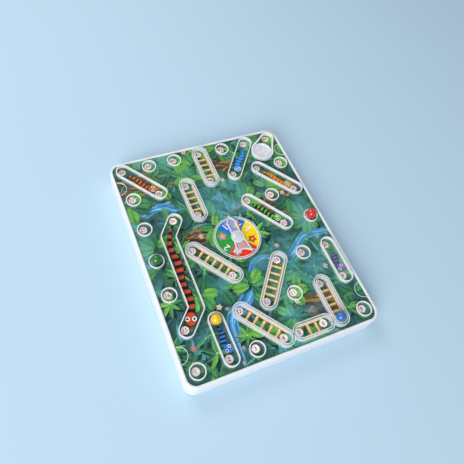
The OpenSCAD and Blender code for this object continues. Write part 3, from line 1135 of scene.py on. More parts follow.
@dataclass
class GamePrint:
    """Printed ladders, snakes, numbers and dial of the card.

    Attributes:
        grid: places of the board.
        stack: heights of the print.
        rail_gap: distance between a ladder's rails.
        rail_w: width of a rail.
        rung_w: width of a rung.
        rung_pitch: distance between rungs.
        snake_w: width of a short snake.
        snake_band: distance between its bands.
        snake_gap: distance from the end of its neck to the place at its head.
        long_w: width of the long snake.
        long_band: distance between its bands.
        long_gap: distance from the end of its neck to the place at its head.
        tail_gap: distance from a snake's tail to the place there.
        wave_l: length of a bend of a winding body.
        sway: how far a bend swings out.
        cell_l: length of a printed cell of a body.
        number_r: radius of the disc behind a number.
        number_shift: how far the print lies off the middles of the wells.
        digit_h: height of a digit.
        dial_r: radius of the printed dial.
        dial_digit_h: height of its digits.
        dial_flower: length of the petals on it.
    """

    grid: BoardGrid
    stack: PrintStack
    rail_gap: float = 8.6 * MM
    rail_w: float = 1.8 * MM
    rung_w: float = 2.1 * MM
    rung_pitch: float = 5.6 * MM
    snake_w: float = 4.0 * MM
    snake_band: float = 5 * MM
    snake_gap: float = 8.3 * MM
    long_w: float = 5.4 * MM
    long_band: float = 6 * MM
    long_gap: float = 10.5 * MM
    tail_gap: float = 3.5 * MM
    wave_l: float = 15 * MM
    sway: float = 1.1 * MM
    cell_l: float = 0.8 * MM
    number_r: float = 2.8 * MM
    number_shift: tuple[float, float] = (-0.9 * MM, 0.7 * MM)
    digit_h: float = 2.7 * MM
    dial_r: float = 16.4 * MM
    dial_digit_h: float = 5.0 * MM
    dial_flower: float = 3.4 * MM

    # Inks across a rail or rung, and the foot and top of each ladder
    LADDER_INKS = (Ink.GOLD_DARK, Ink.GOLD, Ink.GOLD_LIGHT, Ink.GOLD)
    LADDERS = ((4, 13), (5, 6), (7, 10), (12, 18), (17, 23), (27, 35), (34, 41))
    # Share of a snake's length that its bands take, and width of its outline over that of its body
    BAND_SHARE = 0.38
    OUTLINE_SHARE = 1.18
    # Head and tail of each short snake with its two inks
    SNAKES = ((2, 14, Ink.SNAKE_BLUE, Ink.BLACK), (9, 20, Ink.SNAKE_VIOLET, Ink.TEAL_SHADE),
              (22, 28, Ink.SNAKE_LIME, Ink.BLACK), (30, 32, Ink.SNAKE_YELLOW, Ink.SNAKE_ORANGE),
              (36, 38, Ink.SNAKE_ORANGE, Ink.EARTH_DARK), (33, 43, Ink.SNAKE_SKY, Ink.DIAL_BLUE))
    # The long snake's head and tail, and its two bends as columns and rows
    LONG_SNAKE = (15, 26)
    BEND_SHARES = ((-2.48, -1.4), (-2.3, 0.5))
    # Quarters of the dial from the top leftwards, each with the two inks of its flower
    DIAL_INKS = ((Ink.DIAL_BLUE, Ink.SNAKE_ORANGE, Ink.GOLD_LIGHT), (Ink.DIAL_GREEN, Ink.SNAKE_VIOLET, Ink.PETAL_PINK),
                 (Ink.DIAL_RED, Ink.WATER_LIGHT, Ink.WHITE), (Ink.DIAL_YELLOW, Ink.RED, Ink.SNAKE_RUST))
    DIAL_STEPS = 96
    # Number and flower of a quarter: reach from the dial's middle over its radius, turn from the quarter's middle
    NUMBER_PLACE = (0.7, 0.46)
    FLOWER_PLACE = (0.66, -0.4)

    def build(self, material: bpy.types.Material) -> list[bpy.types.Object]:
        """Print everything that belongs to the game.

        Args:
            material: printed ink.

        Returns:
            The printed pieces.
        """
        ladders, snakes, numbers, dial = (InkSheet(f"print_{name}", self.stack)
                                          for name in ("ladders", "snakes", "numbers", "dial"))
        places = self.grid.places()
        for foot, top in self.LADDERS:
            self.ladder(ladders, places[foot], places[top])
        for head, tail, ink, band in self.SNAKES:
            self.snake(snakes, [places[tail], places[head]], self.snake_w, ink, band, self.snake_band, self.snake_gap)
        head, tail = self.LONG_SNAKE
        bends = [self.grid.at(*share) for share in reversed(self.BEND_SHARES)]
        self.snake(snakes, [places[tail], *bends, places[head]], self.long_w, Ink.SNAKE_RUST, Ink.BLACK,
                   self.long_band, self.long_gap)
        for value, place in places.items():
            spot = place + Vector(self.number_shift)
            numbers.disc(spot, self.number_r, Ink.BLUSH)
            numbers.disc(spot, 0.9 * self.number_r, Ink.WHITE)
            numbers.number(str(value), spot, self.digit_h, Ink.RED)
        self.dial(dial)
        return [sheet.piece(material, *self.grid.print_size()) for sheet in (ladders, snakes, numbers, dial)]

    def ladder(self, sheet: InkSheet, foot: Vector, top: Vector) -> None:
        """Print a ladder between two places.

        Args:
            sheet: layer that takes it.
            foot: place at its foot.
            top: place at its top.
        """
        along = (top - foot).normalized()
        reach = Vector((-along.y, along.x)) * self.rail_gap / 2
        length = (top - foot).length
        rungs = round(length / self.rung_pitch)
        for rung in range(1, rungs):
            middle = foot + along * length * rung / rungs
            self.bar(sheet, middle - reach, middle + reach, self.rung_w)
        for way in (-1, 1):
            self.bar(sheet, foot + way * reach, top + way * reach, self.rail_w)

    def bar(self, sheet: InkSheet, start: Vector, stop: Vector, width: float) -> None:
        """Print a straight bar with a dark and a light edge.

        Args:
            sheet: layer that takes it.
            start: one end.
            stop: other end.
            width: width of the bar.
        """
        along = (stop - start).normalized()
        side = Vector((-along.y, along.x))
        sheet.ribbon(len(self.LADDER_INKS), 1,
                     lambda across, share: start.lerp(stop, share) - across * width / 2 * side,
                     lambda lane, step: self.LADDER_INKS[lane])

    def snake(self, sheet: InkSheet, points: Sequence[Vector], width: float, ink: Ink, band: Ink,
              band_pitch: float, head_gap: float) -> None:
        """Print a banded snake that winds from its tail to its head.

        Args:
            sheet: layer that takes it.
            points: tail, bends and head.
            width: width of its body.
            ink: ink of its body.
            band: ink of its bands.
            band_pitch: distance between bands.
            head_gap: distance from the end of its neck to the place at its head.
        """
        course = Path(points)
        waves = round(course.length / self.wave_l)
        first, last = self.tail_gap / course.length, 1 - head_gap / course.length
        cells = int(course.length / self.cell_l)
        cells_per_band = max(2, round(band_pitch / self.cell_l))

        def spine(along: float) -> tuple[Vector, Vector]:
            """Point and side of the winding body.

            Args:
                along: place along, from 0 at the tail to 1 at the neck.

            Returns:
                The point, and the unit vector to its left.
            """
            share = first + along * (last - first)
            point, side = course.at(share)
            ease = math.sin(math.pi * along) ** 0.5
            return point + self.sway * ease * math.sin(math.pi * waves * share) * side, side

        def point_at(across: float, along: float) -> Vector:
            """Point of the body.

            Args:
                across: place across, from -1 to 1.
                along: place along, from 0 to 1.

            Returns:
                The point on the board.
            """
            point, side = spine(along)
            half = width / 2 * min(1.0, 0.2 + 1.6 * along)
            return point - across * half * side

        def ink_at(lane: int, step: int) -> Ink:
            """Ink of a cell of the body."""
            return band if step % cells_per_band < self.BAND_SHARE * cells_per_band else ink

        sheet.ribbon(1, cells, lambda across, along: point_at(self.OUTLINE_SHARE * across, along),
                     lambda lane, step: Ink.BLACK)
        sheet.ribbon(3, cells, point_at, ink_at)
        # The head's tongue, outline, skin and eyes are shares of the body's width
        neck = spine(0.985)[0]
        chin = spine(1.0)[0]
        nose = (chin - neck).normalized()
        turn = math.atan2(nose.y, nose.x)
        head = chin + 0.4 * width * nose
        sheet.leaf(head + 0.7 * width * nose, turn, 0.7 * width, 0.2 * width, Ink.RED, Ink.RED)
        sheet.disc(head, 0.74 * width, Ink.BLACK, 1.2, turn)
        sheet.disc(head, 0.68 * width, ink, 1.22, turn)
        for way in (-1, 1):
            eye = head + way * 0.42 * width * Vector((-nose.y, nose.x))
            sheet.disc(eye, 0.29 * width, Ink.WHITE)
            sheet.disc(eye, 0.15 * width, Ink.BLACK)

    def dial(self, sheet: InkSheet) -> None:
        """Print the four quarters of the dial, each with its number and a flower.

        Args:
            sheet: layer that takes them.
        """
        turned = Matrix.Rotation(QUARTER_TURN / 2, 4, "Z")
        made = bmesh.ops.create_circle(sheet.bm, cap_ends=True, cap_tris=True, segments=self.DIAL_STEPS,
                                       radius=self.dial_r, matrix=turned)["verts"]
        for face in {face for vert in made for face in vert.link_faces}:
            middle = face.calc_center_median()
            quarter = int(((math.atan2(middle.y, middle.x) - QUARTER_TURN / 2) % FULL_TURN) / QUARTER_TURN)
            sheet.tint((face,), self.DIAL_INKS[quarter][0])
        sheet.lay(made)
        for quarter, (_, light, dark) in enumerate(self.DIAL_INKS):
            (number_share, number_turn), (flower_share, flower_turn) = self.NUMBER_PLACE, self.FLOWER_PLACE
            number_aim = QUARTER_TURN * (quarter + 1) + number_turn
            flower_aim = QUARTER_TURN * (quarter + 1) + flower_turn
            sheet.number(str(quarter + 1), number_share * self.dial_r * heading_vector(number_aim),
                         self.dial_digit_h, Ink.WHITE, number_aim - QUARTER_TURN)
            sheet.flower(flower_share * self.dial_r * heading_vector(flower_aim), self.dial_flower, light, dark,
                         flower_aim)


@dataclass
class Tray:
    """White moulded tray with soft edges.

    Attributes:
        wall: thickness of the rim.
        corner_r: radius of the outer corners.
        edge_r: rounding of the rim and of the foot.
    """

    wall: float = 1.8 * MM
    corner_r: float = 8 * MM
    edge_r: float = 0.55 * MM
    # Heights nearer than this are one height
    SAME_HEIGHT = 0.01 * MM

    def build(self, material: bpy.types.Material) -> bpy.types.Object:
        """Model the tray from a plate.

        Args:
            material: moulded plastic.

        Returns:
            The tray.
        """
        low, high = (Vector(corner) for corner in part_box("tray"))
        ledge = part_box("printed_card")[0][2]
        bm = bmesh.new()
        bmesh.ops.create_grid(bm, x_segments=1, y_segments=1, size=0.5)
        bmesh.ops.scale(bm, vec=(high.x - low.x, high.y - low.y, 1.0), verts=bm.verts[:])
        bmesh.ops.bevel(bm, geom=bm.verts[:], affect="VERTICES", offset=self.corner_r, segments=14, profile=0.5,
                        material=-1)
        raised = bmesh.ops.extrude_face_region(bm, geom=bm.faces[:])
        bmesh.ops.translate(bm, vec=(0, 0, high.z), verts=self.verts_of(raised["geom"]))
        top = next(item for item in raised["geom"] if isinstance(item, bmesh.types.BMFace))
        bmesh.ops.recalc_face_normals(bm, faces=bm.faces[:])
        bmesh.ops.inset_region(bm, faces=[top], thickness=self.wall, use_even_offset=True)
        sunk = bmesh.ops.extrude_face_region(bm, geom=[top])
        bmesh.ops.delete(bm, geom=[top], context="FACES_ONLY")
        bmesh.ops.translate(bm, vec=(0, 0, ledge - high.z), verts=self.verts_of(sunk["geom"]))
        bmesh.ops.recalc_face_normals(bm, faces=bm.faces[:])
        soft = [edge for edge in bm.edges if self.is_level(edge, high.z) or self.is_level(edge, low.z)]
        bmesh.ops.bevel(bm, geom=soft, affect="EDGES", offset=self.edge_r, segments=4, profile=0.5, material=-1)
        return make_piece("tray_shell", bm, material, Body.BASE.value, replaces="tray")

    @staticmethod
    def verts_of(geometry: Iterable) -> list[bmesh.types.BMVert]:
        """Corners among the elements that an operator returns."""
        return [item for item in geometry if isinstance(item, bmesh.types.BMVert)]

    @classmethod
    def is_level(cls, edge: bmesh.types.BMEdge, height: float) -> bool:
        """Whether an edge lies at a height."""
        return all(abs(vert.co.z - height) < cls.SAME_HEIGHT for vert in edge.verts)


def spin_profile(points: Sequence[tuple[float, float]], centre: Vector, steps: int = 64) -> bmesh.types.BMesh:
    """Turn a profile about an upright axis.

    Args:
        points: radius and height of each corner of the profile, from the axis out and back.
        centre: point of the axis.
        steps: steps of a full turn.

    Returns:
        The turned mesh, closed and facing outwards.
    """
    bm = bmesh.new()
    verts = [bm.verts.new((centre.x + radius, centre.y, height)) for radius, height in points]
    edges = [bm.edges.new(pair) for pair in zip(verts, verts[1:])]
    bmesh.ops.spin(bm, geom=verts + edges, cent=(centre.x, centre.y, 0), axis=(0, 0, 1), angle=FULL_TURN,
                   steps=steps, use_merge=True)
    bmesh.ops.remove_doubles(bm, verts=bm.verts[:], dist=MERGE)
    bmesh.ops.recalc_face_normals(bm, faces=bm.faces[:])
    return bm


def arc(middle: tuple[float, float], radius: float, start: float, stop: float,
        steps: int = 6) -> list[tuple[float, float]]:
    """Corners of a round stretch of a profile.

    Args:
        middle: radius and height of its middle.
        radius: its radius.
        start: first angle, in degrees from outwards.
        stop: last angle.
        steps: number of steps.

    Returns:
        Radius and height of each corner.
    """
    turns = [math.radians(start + (stop - start) * i / steps) for i in range(steps + 1)]
    return [(middle[0] + radius * math.cos(turn), middle[1] + radius * math.sin(turn)) for turn in turns]


class CoverSkin(Enum):
    """Finishes of the cover's faces, numbered as its materials are."""

    SHEET = 0
    FOOT = 1
    WALL = 2
    CREST = 3
    BROAD_TOP = 4
    LADDER_WALL = 5


@dataclass
class ClearCover:
    """Clear cover: the solid of the frame, see-through where it is flat and white where it is drawn up.

    Attributes:
        foot_h: height of the foot under the thin walls; what is lower stays clear.
        dial_ring_h: height of the ring around the dial.
        line_w: width of the white line along the edges of the broad tops, a painted highlight.
        edge_w: what lies this far inside the sheet's straight edges is a finger notch.
        corner_l: length of the sheet's corners, where no notch lies.
        rim_w: width of the white rim around a finger notch, a painted highlight on its cut edge.
    """

    foot_h: float = 0.5 * MM
    dial_ring_h: float = 1.2 * MM
    line_w: float = 0.4 * MM
    edge_w: float = 0.2 * MM
    corner_l: float = 8 * MM
    rim_w: float = 0.32 * MM
    # Slack when heights are compared, and lift of the painted highlight lines and rims so that they lie on the plastic
    HAIR = 0.05 * MM
    LINE_LIFT = 0.01 * MM

    def __post_init__(self) -> None:
        """Measure the top of the sheet and the broad tops of the ladder walls and the dial ring."""
        self.sheet_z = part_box("finish_dish")[0][2]
        self.high = Vector(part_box("clear_cover")[1])
        self.broad_z = (self.high.z, self.sheet_z + self.dial_ring_h)

    def is_broad(self, height: float) -> bool:
        """Whether a height is that of a broad top."""
        return any(abs(height - level) < self.HAIR for level in self.broad_z)

    def is_notch(self, centre: Vector) -> bool:
        """Whether an upright face of the sheet lies in a finger notch."""
        across, along = self.high.x - abs(centre.x), self.high.y - abs(centre.y)
        return self.edge_w < across < self.corner_l < along

    def skin_of(self, centre: Vector, rise: float, reach: float) -> CoverSkin:
        """Choose the finish of a face.

        Args:
            centre: middle of the face.
            rise: upward part of its normal.
            reach: height of its highest corner.

        Returns:
            Its finish.
        """
        sheet_z = self.sheet_z + self.HAIR
        in_foot = reach < sheet_z + self.foot_h
        if abs(rise) > LEVEL_FACE:
            if in_foot:
                return CoverSkin.SHEET
            return CoverSkin.BROAD_TOP if self.is_broad(reach) else CoverSkin.CREST
        # Low upright faces in a finger notch take the white crest finish, a painted highlight on the cut edge
        if reach < sheet_z:
            return CoverSkin.CREST if self.is_notch(centre) else CoverSkin.SHEET
        if in_foot:
            return CoverSkin.FOOT
        return CoverSkin.LADDER_WALL if reach > self.high.z - self.HAIR else CoverSkin.WALL

    def copy_of(self, skin: CoverSkin, level: bool) -> bmesh.types.BMesh:
        """Copy the faces of one finish that lie level or stand upright.

        Args:
            skin: finish of the faces.
            level: whether the faces lie level, rather than upright.

        Returns:
            The copied faces, joined to each other.
        """
        bm = bmesh.new()
        bm.from_mesh(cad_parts["clear_cover"].data)
        bmesh.ops.remove_doubles(bm, verts=bm.verts[:], dist=MERGE)
        bm.normal_update()
        others = [face for face in bm.faces
                  if (abs(face.normal.z) > LEVEL_FACE) != level or self.skin_of(
                      face.calc_center_median(), face.normal.z, max(vert.co.z for vert in face.verts)) != skin]
        bmesh.ops.delete(bm, geom=others, context="FACES")
        return bm

    def edge_lines(self, material: bpy.types.Material) -> bpy.types.Object:
        """Lay white lines along the edges of the broad tops: a painted highlight where rounded plastic would catch the
        light.

        Args:
            material: finish of the lines.

        Returns:
            The painted highlight lines.
        """
        bm = self.copy_of(CoverSkin.BROAD_TOP, level=True)
        tops = bm.faces[:]
        bmesh.ops.inset_region(bm, faces=tops, thickness=self.line_w, use_even_offset=True, use_boundary=True)
        bmesh.ops.delete(bm, geom=tops, context="FACES")
        bmesh.ops.translate(bm, vec=(0, 0, self.LINE_LIFT), verts=bm.verts[:])
        return make_piece("cover_painted_highlight_lines", bm, material, Body.COVER.value, smooth_angle=None)

    def notch_rims(self, material: bpy.types.Material) -> bpy.types.Object:
        """Give the finger notches white rims: a painted highlight along the cut edge of the sheet.

        Args:
            material: finish of the rims.

        Returns:
            The painted highlight rims.
        """
        bm = self.copy_of(CoverSkin.CREST, level=False)
        bmesh.ops.solidify(bm, geom=bm.faces[:], thickness=self.rim_w)
        bmesh.ops.translate(bm, vec=(0, 0, self.LINE_LIFT), verts=bm.verts[:])
        return make_piece("cover_notch_painted_highlights", bm, material, Body.COVER.value)

    def dress(self, materials: dict[CoverSkin, bpy.types.Material]) -> None:
        """Give each face of the cover its finish.

        Args:
            materials: material of each finish.
        """
        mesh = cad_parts["clear_cover"].data
        mesh.materials.clear()
        for skin in CoverSkin:
            mesh.materials.append(materials[skin])
        for face in mesh.polygons:
            reach = max(mesh.vertices[corner].co.z for corner in face.vertices)
            face.material_index = self.skin_of(face.center, face.normal.z, reach).value
        LOG.info("clear_cover: %d faces dressed", len(mesh.polygons))


@dataclass
class FinishDish:
    """Frosted dish of the finish pocket.

    Attributes:
        rim_w: width of its rim.
        depth: depth inside the rim.
        edge_r: rounding of the rim.
    """

    rim_w: float = 1.0 * MM
    depth: float = 0.6 * MM
    edge_r: float = 0.3 * MM

    def build(self, material: bpy.types.Material) -> bpy.types.Object:
        """Turn the dish.

        Args:
            material: frosted plastic.

        Returns:
            The dish.
        """
        low, high = (Vector(corner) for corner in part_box("finish_dish"))
        radius = (high.x - low.x) / 2
        soft = self.edge_r
        inner = radius - self.rim_w
        profile = [(0.0, low.z), (radius, low.z)]
        profile += arc((radius - soft, high.z - soft), soft, 0, 90)
        profile += arc((inner + soft, high.z - soft), soft, 90, 180)
        profile += [(inner - soft, high.z - self.depth), (0.0, high.z - self.depth)]
        bm = spin_profile(profile, centre_of("finish_dish"))
        return make_piece("finish_dish_frosted", bm, material, Body.COVER.value,
                          replaces="finish_dish")


@dataclass
class Spinner:
    """Arrow with a sunk face, its hub and the domed pin.

    Attributes:
        border: width of the raised border of the arrow.
        sink: depth of its sunk face.
        sink_w: width of the slope down to that face.
        edge_r: rounding of its edges.
        corner_r: rounding of the corners of its outline.
        shaft_w: width of the shaft.
        head_w: width of the head.
        head_l: length of the head.
        tail_notch: depth of the notch in the tail.
        blade_t: thickness of the blade.
        hub_r: radius of the hub.
        bore_r: radius of the bore.
        play: gap between the bore and the pin.
        pin_head_h: height of the pin's head.
    """

    border: float = 0.8 * MM
    sink: float = 0.3 * MM
    sink_w: float = 0.2 * MM
    edge_r: float = 0.2 * MM
    corner_r: float = 0.5 * MM
    shaft_w: float = 7 * MM
    head_w: float = 9.4 * MM
    head_l: float = 6.6 * MM
    tail_notch: float = 3 * MM
    blade_t: float = 1.2 * MM
    hub_r: float = 4.8 * MM
    bore_r: float = 1.55 * MM
    play: float = 0.05 * MM
    pin_head_h: float = 0.8 * MM
    # Number of the clear face among the blade's materials, and the angle from which an edge of its rim is rounded
    CLEAR_FACE = 1
    SHARP = 0.5

    def build(self, arrow_material: bpy.types.Material, face_material: bpy.types.Material,
              pin_material: bpy.types.Material) -> list[bpy.types.Object]:
        """Model the arrow and the pin.

        Args:
            arrow_material: finish of the arrow's border and hub.
            face_material: finish of its sunk face.
            pin_material: finish of the pin.

        Returns:
            The arrow's blade and hub, and the pin.
        """
        low, high = (Vector(corner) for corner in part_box("spinner_arrow"))
        blade = make_piece("arrow_blade", self.blade(low, high), arrow_material, Body.ARROW.value,
                           replaces="spinner_arrow")
        blade.data.materials.append(face_material)
        hub = make_piece("arrow_hub", self.hub(low, high), arrow_material, Body.ARROW.value)
        pin = make_piece("pin_dome", self.pin(), pin_material, Body.COVER.value,
                         replaces="spinner_pin")
        return [blade, hub, pin]

    def blade(self, low: Vector, high: Vector) -> bmesh.types.BMesh:
        """Raise the arrow from its outline and sink its face.

        Args:
            low: lowest corner of the arrow's box.
            high: highest corner.

        Returns:
            The blade.
        """
        head_y = high.y - self.head_l
        right = [(0, high.y), (self.head_w / 2, head_y), (self.shaft_w / 2, head_y), (self.shaft_w / 2, 0),
                 (high.x, low.y), (0, low.y + self.tail_notch)]
        outline = right + [(-x, y) for x, y in reversed(right[1:-1])]
        bm = bmesh.new()
        face = bm.faces.new([bm.verts.new((x, y, low.z)) for x, y in outline])
        raised = bmesh.ops.extrude_face_region(bm, geom=[face])
        bmesh.ops.translate(bm, vec=(0, 0, self.blade_t), verts=Tray.verts_of(raised["geom"]))
        bmesh.ops.recalc_face_normals(bm, faces=bm.faces[:])
        upright = [edge for edge in bm.edges if abs(edge.verts[0].co.z - edge.verts[1].co.z) > self.blade_t / 2]
        bmesh.ops.bevel(bm, geom=upright, affect="EDGES", offset=self.corner_r, segments=4, profile=0.5, material=-1)
        top = max(bm.faces, key=lambda item: item.calc_center_median().z)
        bmesh.ops.inset_region(bm, faces=[top], thickness=self.border, depth=0.0, use_even_offset=True)
        bmesh.ops.inset_region(bm, faces=[top], thickness=self.sink_w, depth=-self.sink, use_even_offset=True)
        top.material_index = self.CLEAR_FACE
        min(bm.faces, key=lambda item: item.calc_center_median().z).material_index = self.CLEAR_FACE
        level = [edge for edge in bm.edges if Tray.is_level(edge, low.z + self.blade_t) and edge.is_manifold
                 and edge.calc_face_angle(0.0) > self.SHARP]
        bmesh.ops.bevel(bm, geom=level, affect="EDGES", offset=self.edge_r, segments=3, profile=0.5, material=-1)
        return bm

    def hub(self, low: Vector, high: Vector) -> bmesh.types.BMesh:
        """Turn the hub around its bore.

        Args:
            low: lowest corner of the arrow's box.
            high: highest corner.

        Returns:
            The hub.
        """
        soft = self.edge_r
        profile = [(self.bore_r, high.z), (self.bore_r, low.z), (self.hub_r, low.z)]
        profile += arc((self.hub_r - soft, high.z - soft), soft, 0, 90)
        profile += [(self.bore_r, high.z)]
        return spin_profile(profile, Vector((0, 0, 0)))

    def pin(self) -> bmesh.types.BMesh:
        """Turn the pin with its domed head.

        Returns:
            The pin.
        """
        low, high = (Vector(corner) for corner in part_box("spinner_pin"))
        shank = self.bore_r - self.play
        head_r = high.x
        head_h = self.pin_head_h
        dome_r = (head_r ** 2 + head_h ** 2) / (2 * head_h)
        edge = math.degrees(math.asin((dome_r - head_h) / dome_r))
        profile = [(0.0, low.z), (shank, low.z), (shank, high.z - head_h)]
        profile += arc((0.0, high.z - dome_r), dome_r, edge, 90, 12)
        return spin_profile(profile, Vector((0, 0, 0)))


@dataclass
class Ball:
    """Loose playing ball with the faint parting line of its mould.

    Attributes:
        node: solid and body of the ball.
        finish: its plastic.
        line_w: width of the parting line.
        line_h: height of the parting line.
        tilt: lean of the parting line, in degrees.
    """

    node: str
    finish: MouldedPlastic
    line_w: float = 0.16 * MM
    line_h: float = 0.03 * MM
    tilt: float = 35.0

    def build(self) -> bpy.types.Object:
        """Model the ball in its place.

        Returns:
            The ball.
        """
        low, high = (Vector(corner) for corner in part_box(self.node))
        radius = (high.z - low.z) / 2
        bm = bmesh.new()
        bmesh.ops.create_uvsphere(bm, u_segments=56, v_segments=36, radius=radius)
        waist = [edge for edge in bm.edges if all(abs(vert.co.z) < MERGE for vert in edge.verts)]
        bmesh.ops.bevel(bm, geom=waist, affect="EDGES", offset=self.line_w / 2, segments=2, profile=0.5, material=-1)
        swell = 1 + self.line_h / radius
        ridge = [vert for vert in bm.verts if abs(vert.co.z) < 0.1 * self.line_w]
        bmesh.ops.scale(bm, vec=(swell, swell, 1.0), verts=ridge)
        bmesh.ops.rotate(bm, matrix=Matrix.Rotation(math.radians(self.tilt), 3, "X"), verts=bm.verts[:])
        bmesh.ops.translate(bm, vec=(low + high) / 2, verts=bm.verts[:])
        return make_piece(f"{self.node}_gloss", bm, self.finish.material(), self.node,
                          replaces=self.node)


@dataclass
class Studio:
    """Pale floor, soft light and the photograph's camera.

    Attributes:
        image_px: side of the square image.
        focal_px: focal length in pixels of the image.
        middle_px: where the optical axis meets the image.
        eye: place of the camera.
        target: point of the board on the optical axis.
        roll: turn of the camera about its axis, in degrees.
        floor_half: half the width of the floor.
        floor_paint: finish of the floor.
        sky_colour: sRGB hex value of the light from all round.
        sky_strength: strength of that light.
    """

    image_px: int = 464
    focal_px: float = 508.7
    middle_px: tuple[float, float] = (216.36, 198.68)
    eye: tuple[float, float, float] = (-119.54 * MM, -145.62 * MM, 329.42 * MM)
    target: tuple[float, float, float] = (-1.4 * MM, 36.21 * MM, 15.5 * MM)
    roll: float = 13.05
    floor_half: float = 3.0
    floor_paint: PaintedTable = PaintedTable("painted_table", "#BEDAEC")
    sky_colour: str = "#F4F8FF"
    sky_strength: float = 0.4

    SENSOR_W = 36.0
    CLIP_START = 0.01
    # Lamps: name, place, side in metres and power in watts
    LAMPS = (("key", (-1.0, -0.9, 0.84), 1.0, 21.2), ("top", (-0.2, 0.45, 0.6), 0.4, 1.7))

    def camera(self) -> bpy.types.Object:
        """Set up the camera that sees the board as the photograph does.

        Returns:
            The camera.
        """
        lens = bpy.data.cameras.new("photo_camera")
        lens.sensor_width = self.SENSOR_W
        lens.lens = self.focal_px / self.image_px * lens.sensor_width
        half = self.image_px / 2
        lens.shift_x = (half - self.middle_px[0]) / self.image_px
        lens.shift_y = (self.middle_px[1] - half) / self.image_px
        lens.clip_start = self.CLIP_START
        camera = bpy.data.objects.new("photo_camera", lens)
        aim = (Vector(self.target) - Vector(self.eye)).to_track_quat("-Z", "Y").to_matrix().to_4x4()
        camera.matrix_world = (Matrix.Translation(self.eye) @ aim
                               @ Matrix.Rotation(math.radians(self.roll), 4, "Z"))
        bpy.context.scene.collection.objects.link(camera)
        bpy.context.scene.camera = camera
        return camera

    def floor(self) -> bpy.types.Object:
        """Lay the pale floor under the tray.

        Returns:
            The floor.
        """
        bm = bmesh.new()
        bmesh.ops.create_grid(bm, x_segments=1, y_segments=1, size=self.floor_half)
        mesh = bpy.data.meshes.new("floor")
        bm.to_mesh(mesh)
        bm.free()
        mesh.materials.append(self.floor_paint.material())
        floor = bpy.data.objects.new("floor", mesh)
        bpy.context.scene.collection.objects.link(floor)
        return floor

    def lights(self) -> None:
        """Light the board softly from all round, with a key from the left and a small lamp above its far end."""
        world = bpy.data.worlds.new("studio")
        world.use_nodes = True
        background = world.node_tree.nodes["Background"]
        background.inputs["Color"].default_value = linear(self.sky_colour)
        background.inputs["Strength"].default_value = self.sky_strength
        bpy.context.scene.world = world
        for name, place, size, power in self.LAMPS:
            lamp = bpy.data.lights.new(name, "AREA")
            lamp.size = size
            lamp.energy = power
            light = bpy.data.objects.new(name, lamp)
            light.matrix_world = (Matrix.Translation(place)
                                  @ (-Vector(place)).to_track_quat("-Z", "Y").to_matrix().to_4x4())
            bpy.context.scene.collection.objects.link(light)


def dress(node: str, material: bpy.types.Material) -> None:
    """Give a solid of the frame a better material.

    Args:
        node: name of the solid.
        material: its finish.
    """
    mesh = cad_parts[node].data
    mesh.materials.clear()
    mesh.materials.append(material)
    LOG.info("%s: %s", node, material.name)


# Moulded polystyrene: a clean white with a soft sheen and hardly any mottle
TRAY_PLASTIC = MouldedPlastic("white_polystyrene_tray", "#F0F1F4", 0.36, ior=1.59, glow=0.05)
# Offset print on card: dull patches of shade, moss and mist with brush strokes, pale at the cut edge
GROUND_PRINT = JungleFloor("printed_jungle_floor")
# Offset ink: flat shapes with the fine fibre of the card, and for the jungle a blue veil that lightens it in places
GAME_INK = PrintedInk("offset_ink_on_card")
JUNGLE_INK = PrintedInk("offset_ink_with_mist", mist=0.48)
# Clear plastic: invisible but for a weak gloss where flat, and the whiter the more it was drawn out
COVER_FINISHES = {
    CoverSkin.SHEET: ClearSheet("clear_moulded_sheet"),
    CoverSkin.FOOT: FrostedWall("clear_foot", 0.4),
    CoverSkin.WALL: FrostedWall("drawn_wall", 0.92),
    # The crest finish also colours the painted highlight lines and notch rims
    CoverSkin.CREST: FrostedWall("wall_crest_and_painted_highlight", 0.95),
    CoverSkin.BROAD_TOP: FrostedWall("milky_broad_top", 0.22, roughness=0.15),
    CoverSkin.LADDER_WALL: FrostedWall("milky_ladder_wall", 0.68),
}
# Frosted polypropylene: a cloudy grey white that hides what lies under it
DISH_PLASTIC = MilkyPlastic("frosted_polypropylene", "#D3D8E2", "#F2F3F7", 0.93, 0.5, 2.2)
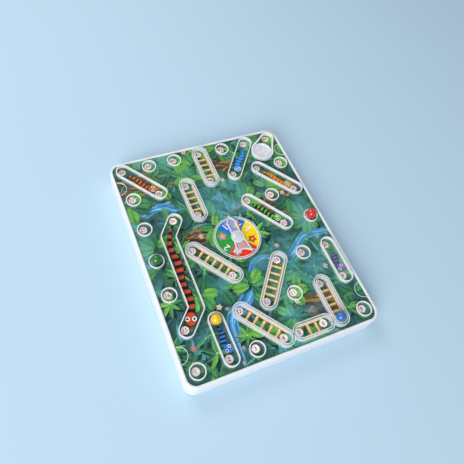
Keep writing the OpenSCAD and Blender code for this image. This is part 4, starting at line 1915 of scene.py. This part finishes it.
# Translucent polypropylene: milky along the edges, while the dial shows through the thin face
ARROW_PLASTIC = MilkyPlastic("milky_arrow_edge", "#E4EAF2", "#FCFDFF", 0.8, 0.18, 2.5)
ARROW_FACE_PLASTIC = MilkyPlastic("clear_arrow_face", "#DCE6F2", "#FCFDFF", 0.25, 0.12, 2.5)
PIN_PLASTIC = MilkyPlastic("milky_pin", "#D8DEE8", "#F6F8FB", 0.75, 0.2, 1.6)
# Polished plastic: full colours under a clear gloss, with a sharp highlight
BALL_PLASTICS = {
    node: MouldedPlastic(f"polished_{node}", colour, 0.14, mottle_depth=0.08, skin_height=0.004, coat=0.6)
    for node, colour in (("red_ball", "#DE2A1C"), ("green_ball", "#14732F"), ("yellow_ball", "#EFC620"),
                         ("blue_ball", "#2F6FB8"))}
# Lift of the print off the card, so that it lies on it
PRINT_LIFT = 0.01 * MM


def main() -> None:
    """Build the looks of the board, piece by piece."""
    logging.basicConfig(level=logging.INFO, format="%(name)s: %(message)s")
    bpy.context.scene.view_settings.view_transform = "Standard"
    studio = Studio()
    studio.camera()
    studio.floor()
    studio.lights()

    grid = BoardGrid.from_frame()
    stack = PrintStack(grid.card_top + PRINT_LIFT)
    ground = GROUND_PRINT.material()
    Tray().build(TRAY_PLASTIC.material())
    dress("printed_card", ground)
    Jungle(grid, stack).build(ground, JUNGLE_INK.material())
    GamePrint(grid, stack).build(GAME_INK.material())
    LOG.info("print: %d shapes deep", max(stack.levels.values()))

    cover = ClearCover()
    skins = {skin: finish.material() for skin, finish in COVER_FINISHES.items()}
    cover.dress(skins)
    # Painted highlight: white lines along the edges of the broad tops
    cover.edge_lines(skins[CoverSkin.CREST])
    # Painted highlight: white rims in the finger notches
    cover.notch_rims(skins[CoverSkin.CREST])
    FinishDish().build(DISH_PLASTIC.material())
    Spinner().build(ARROW_PLASTIC.material(), ARROW_FACE_PLASTIC.material(), PIN_PLASTIC.material())
    for node, plastic in BALL_PLASTICS.items():
        Ball(node, plastic).build()


if __name__ == "__main__":
    main()
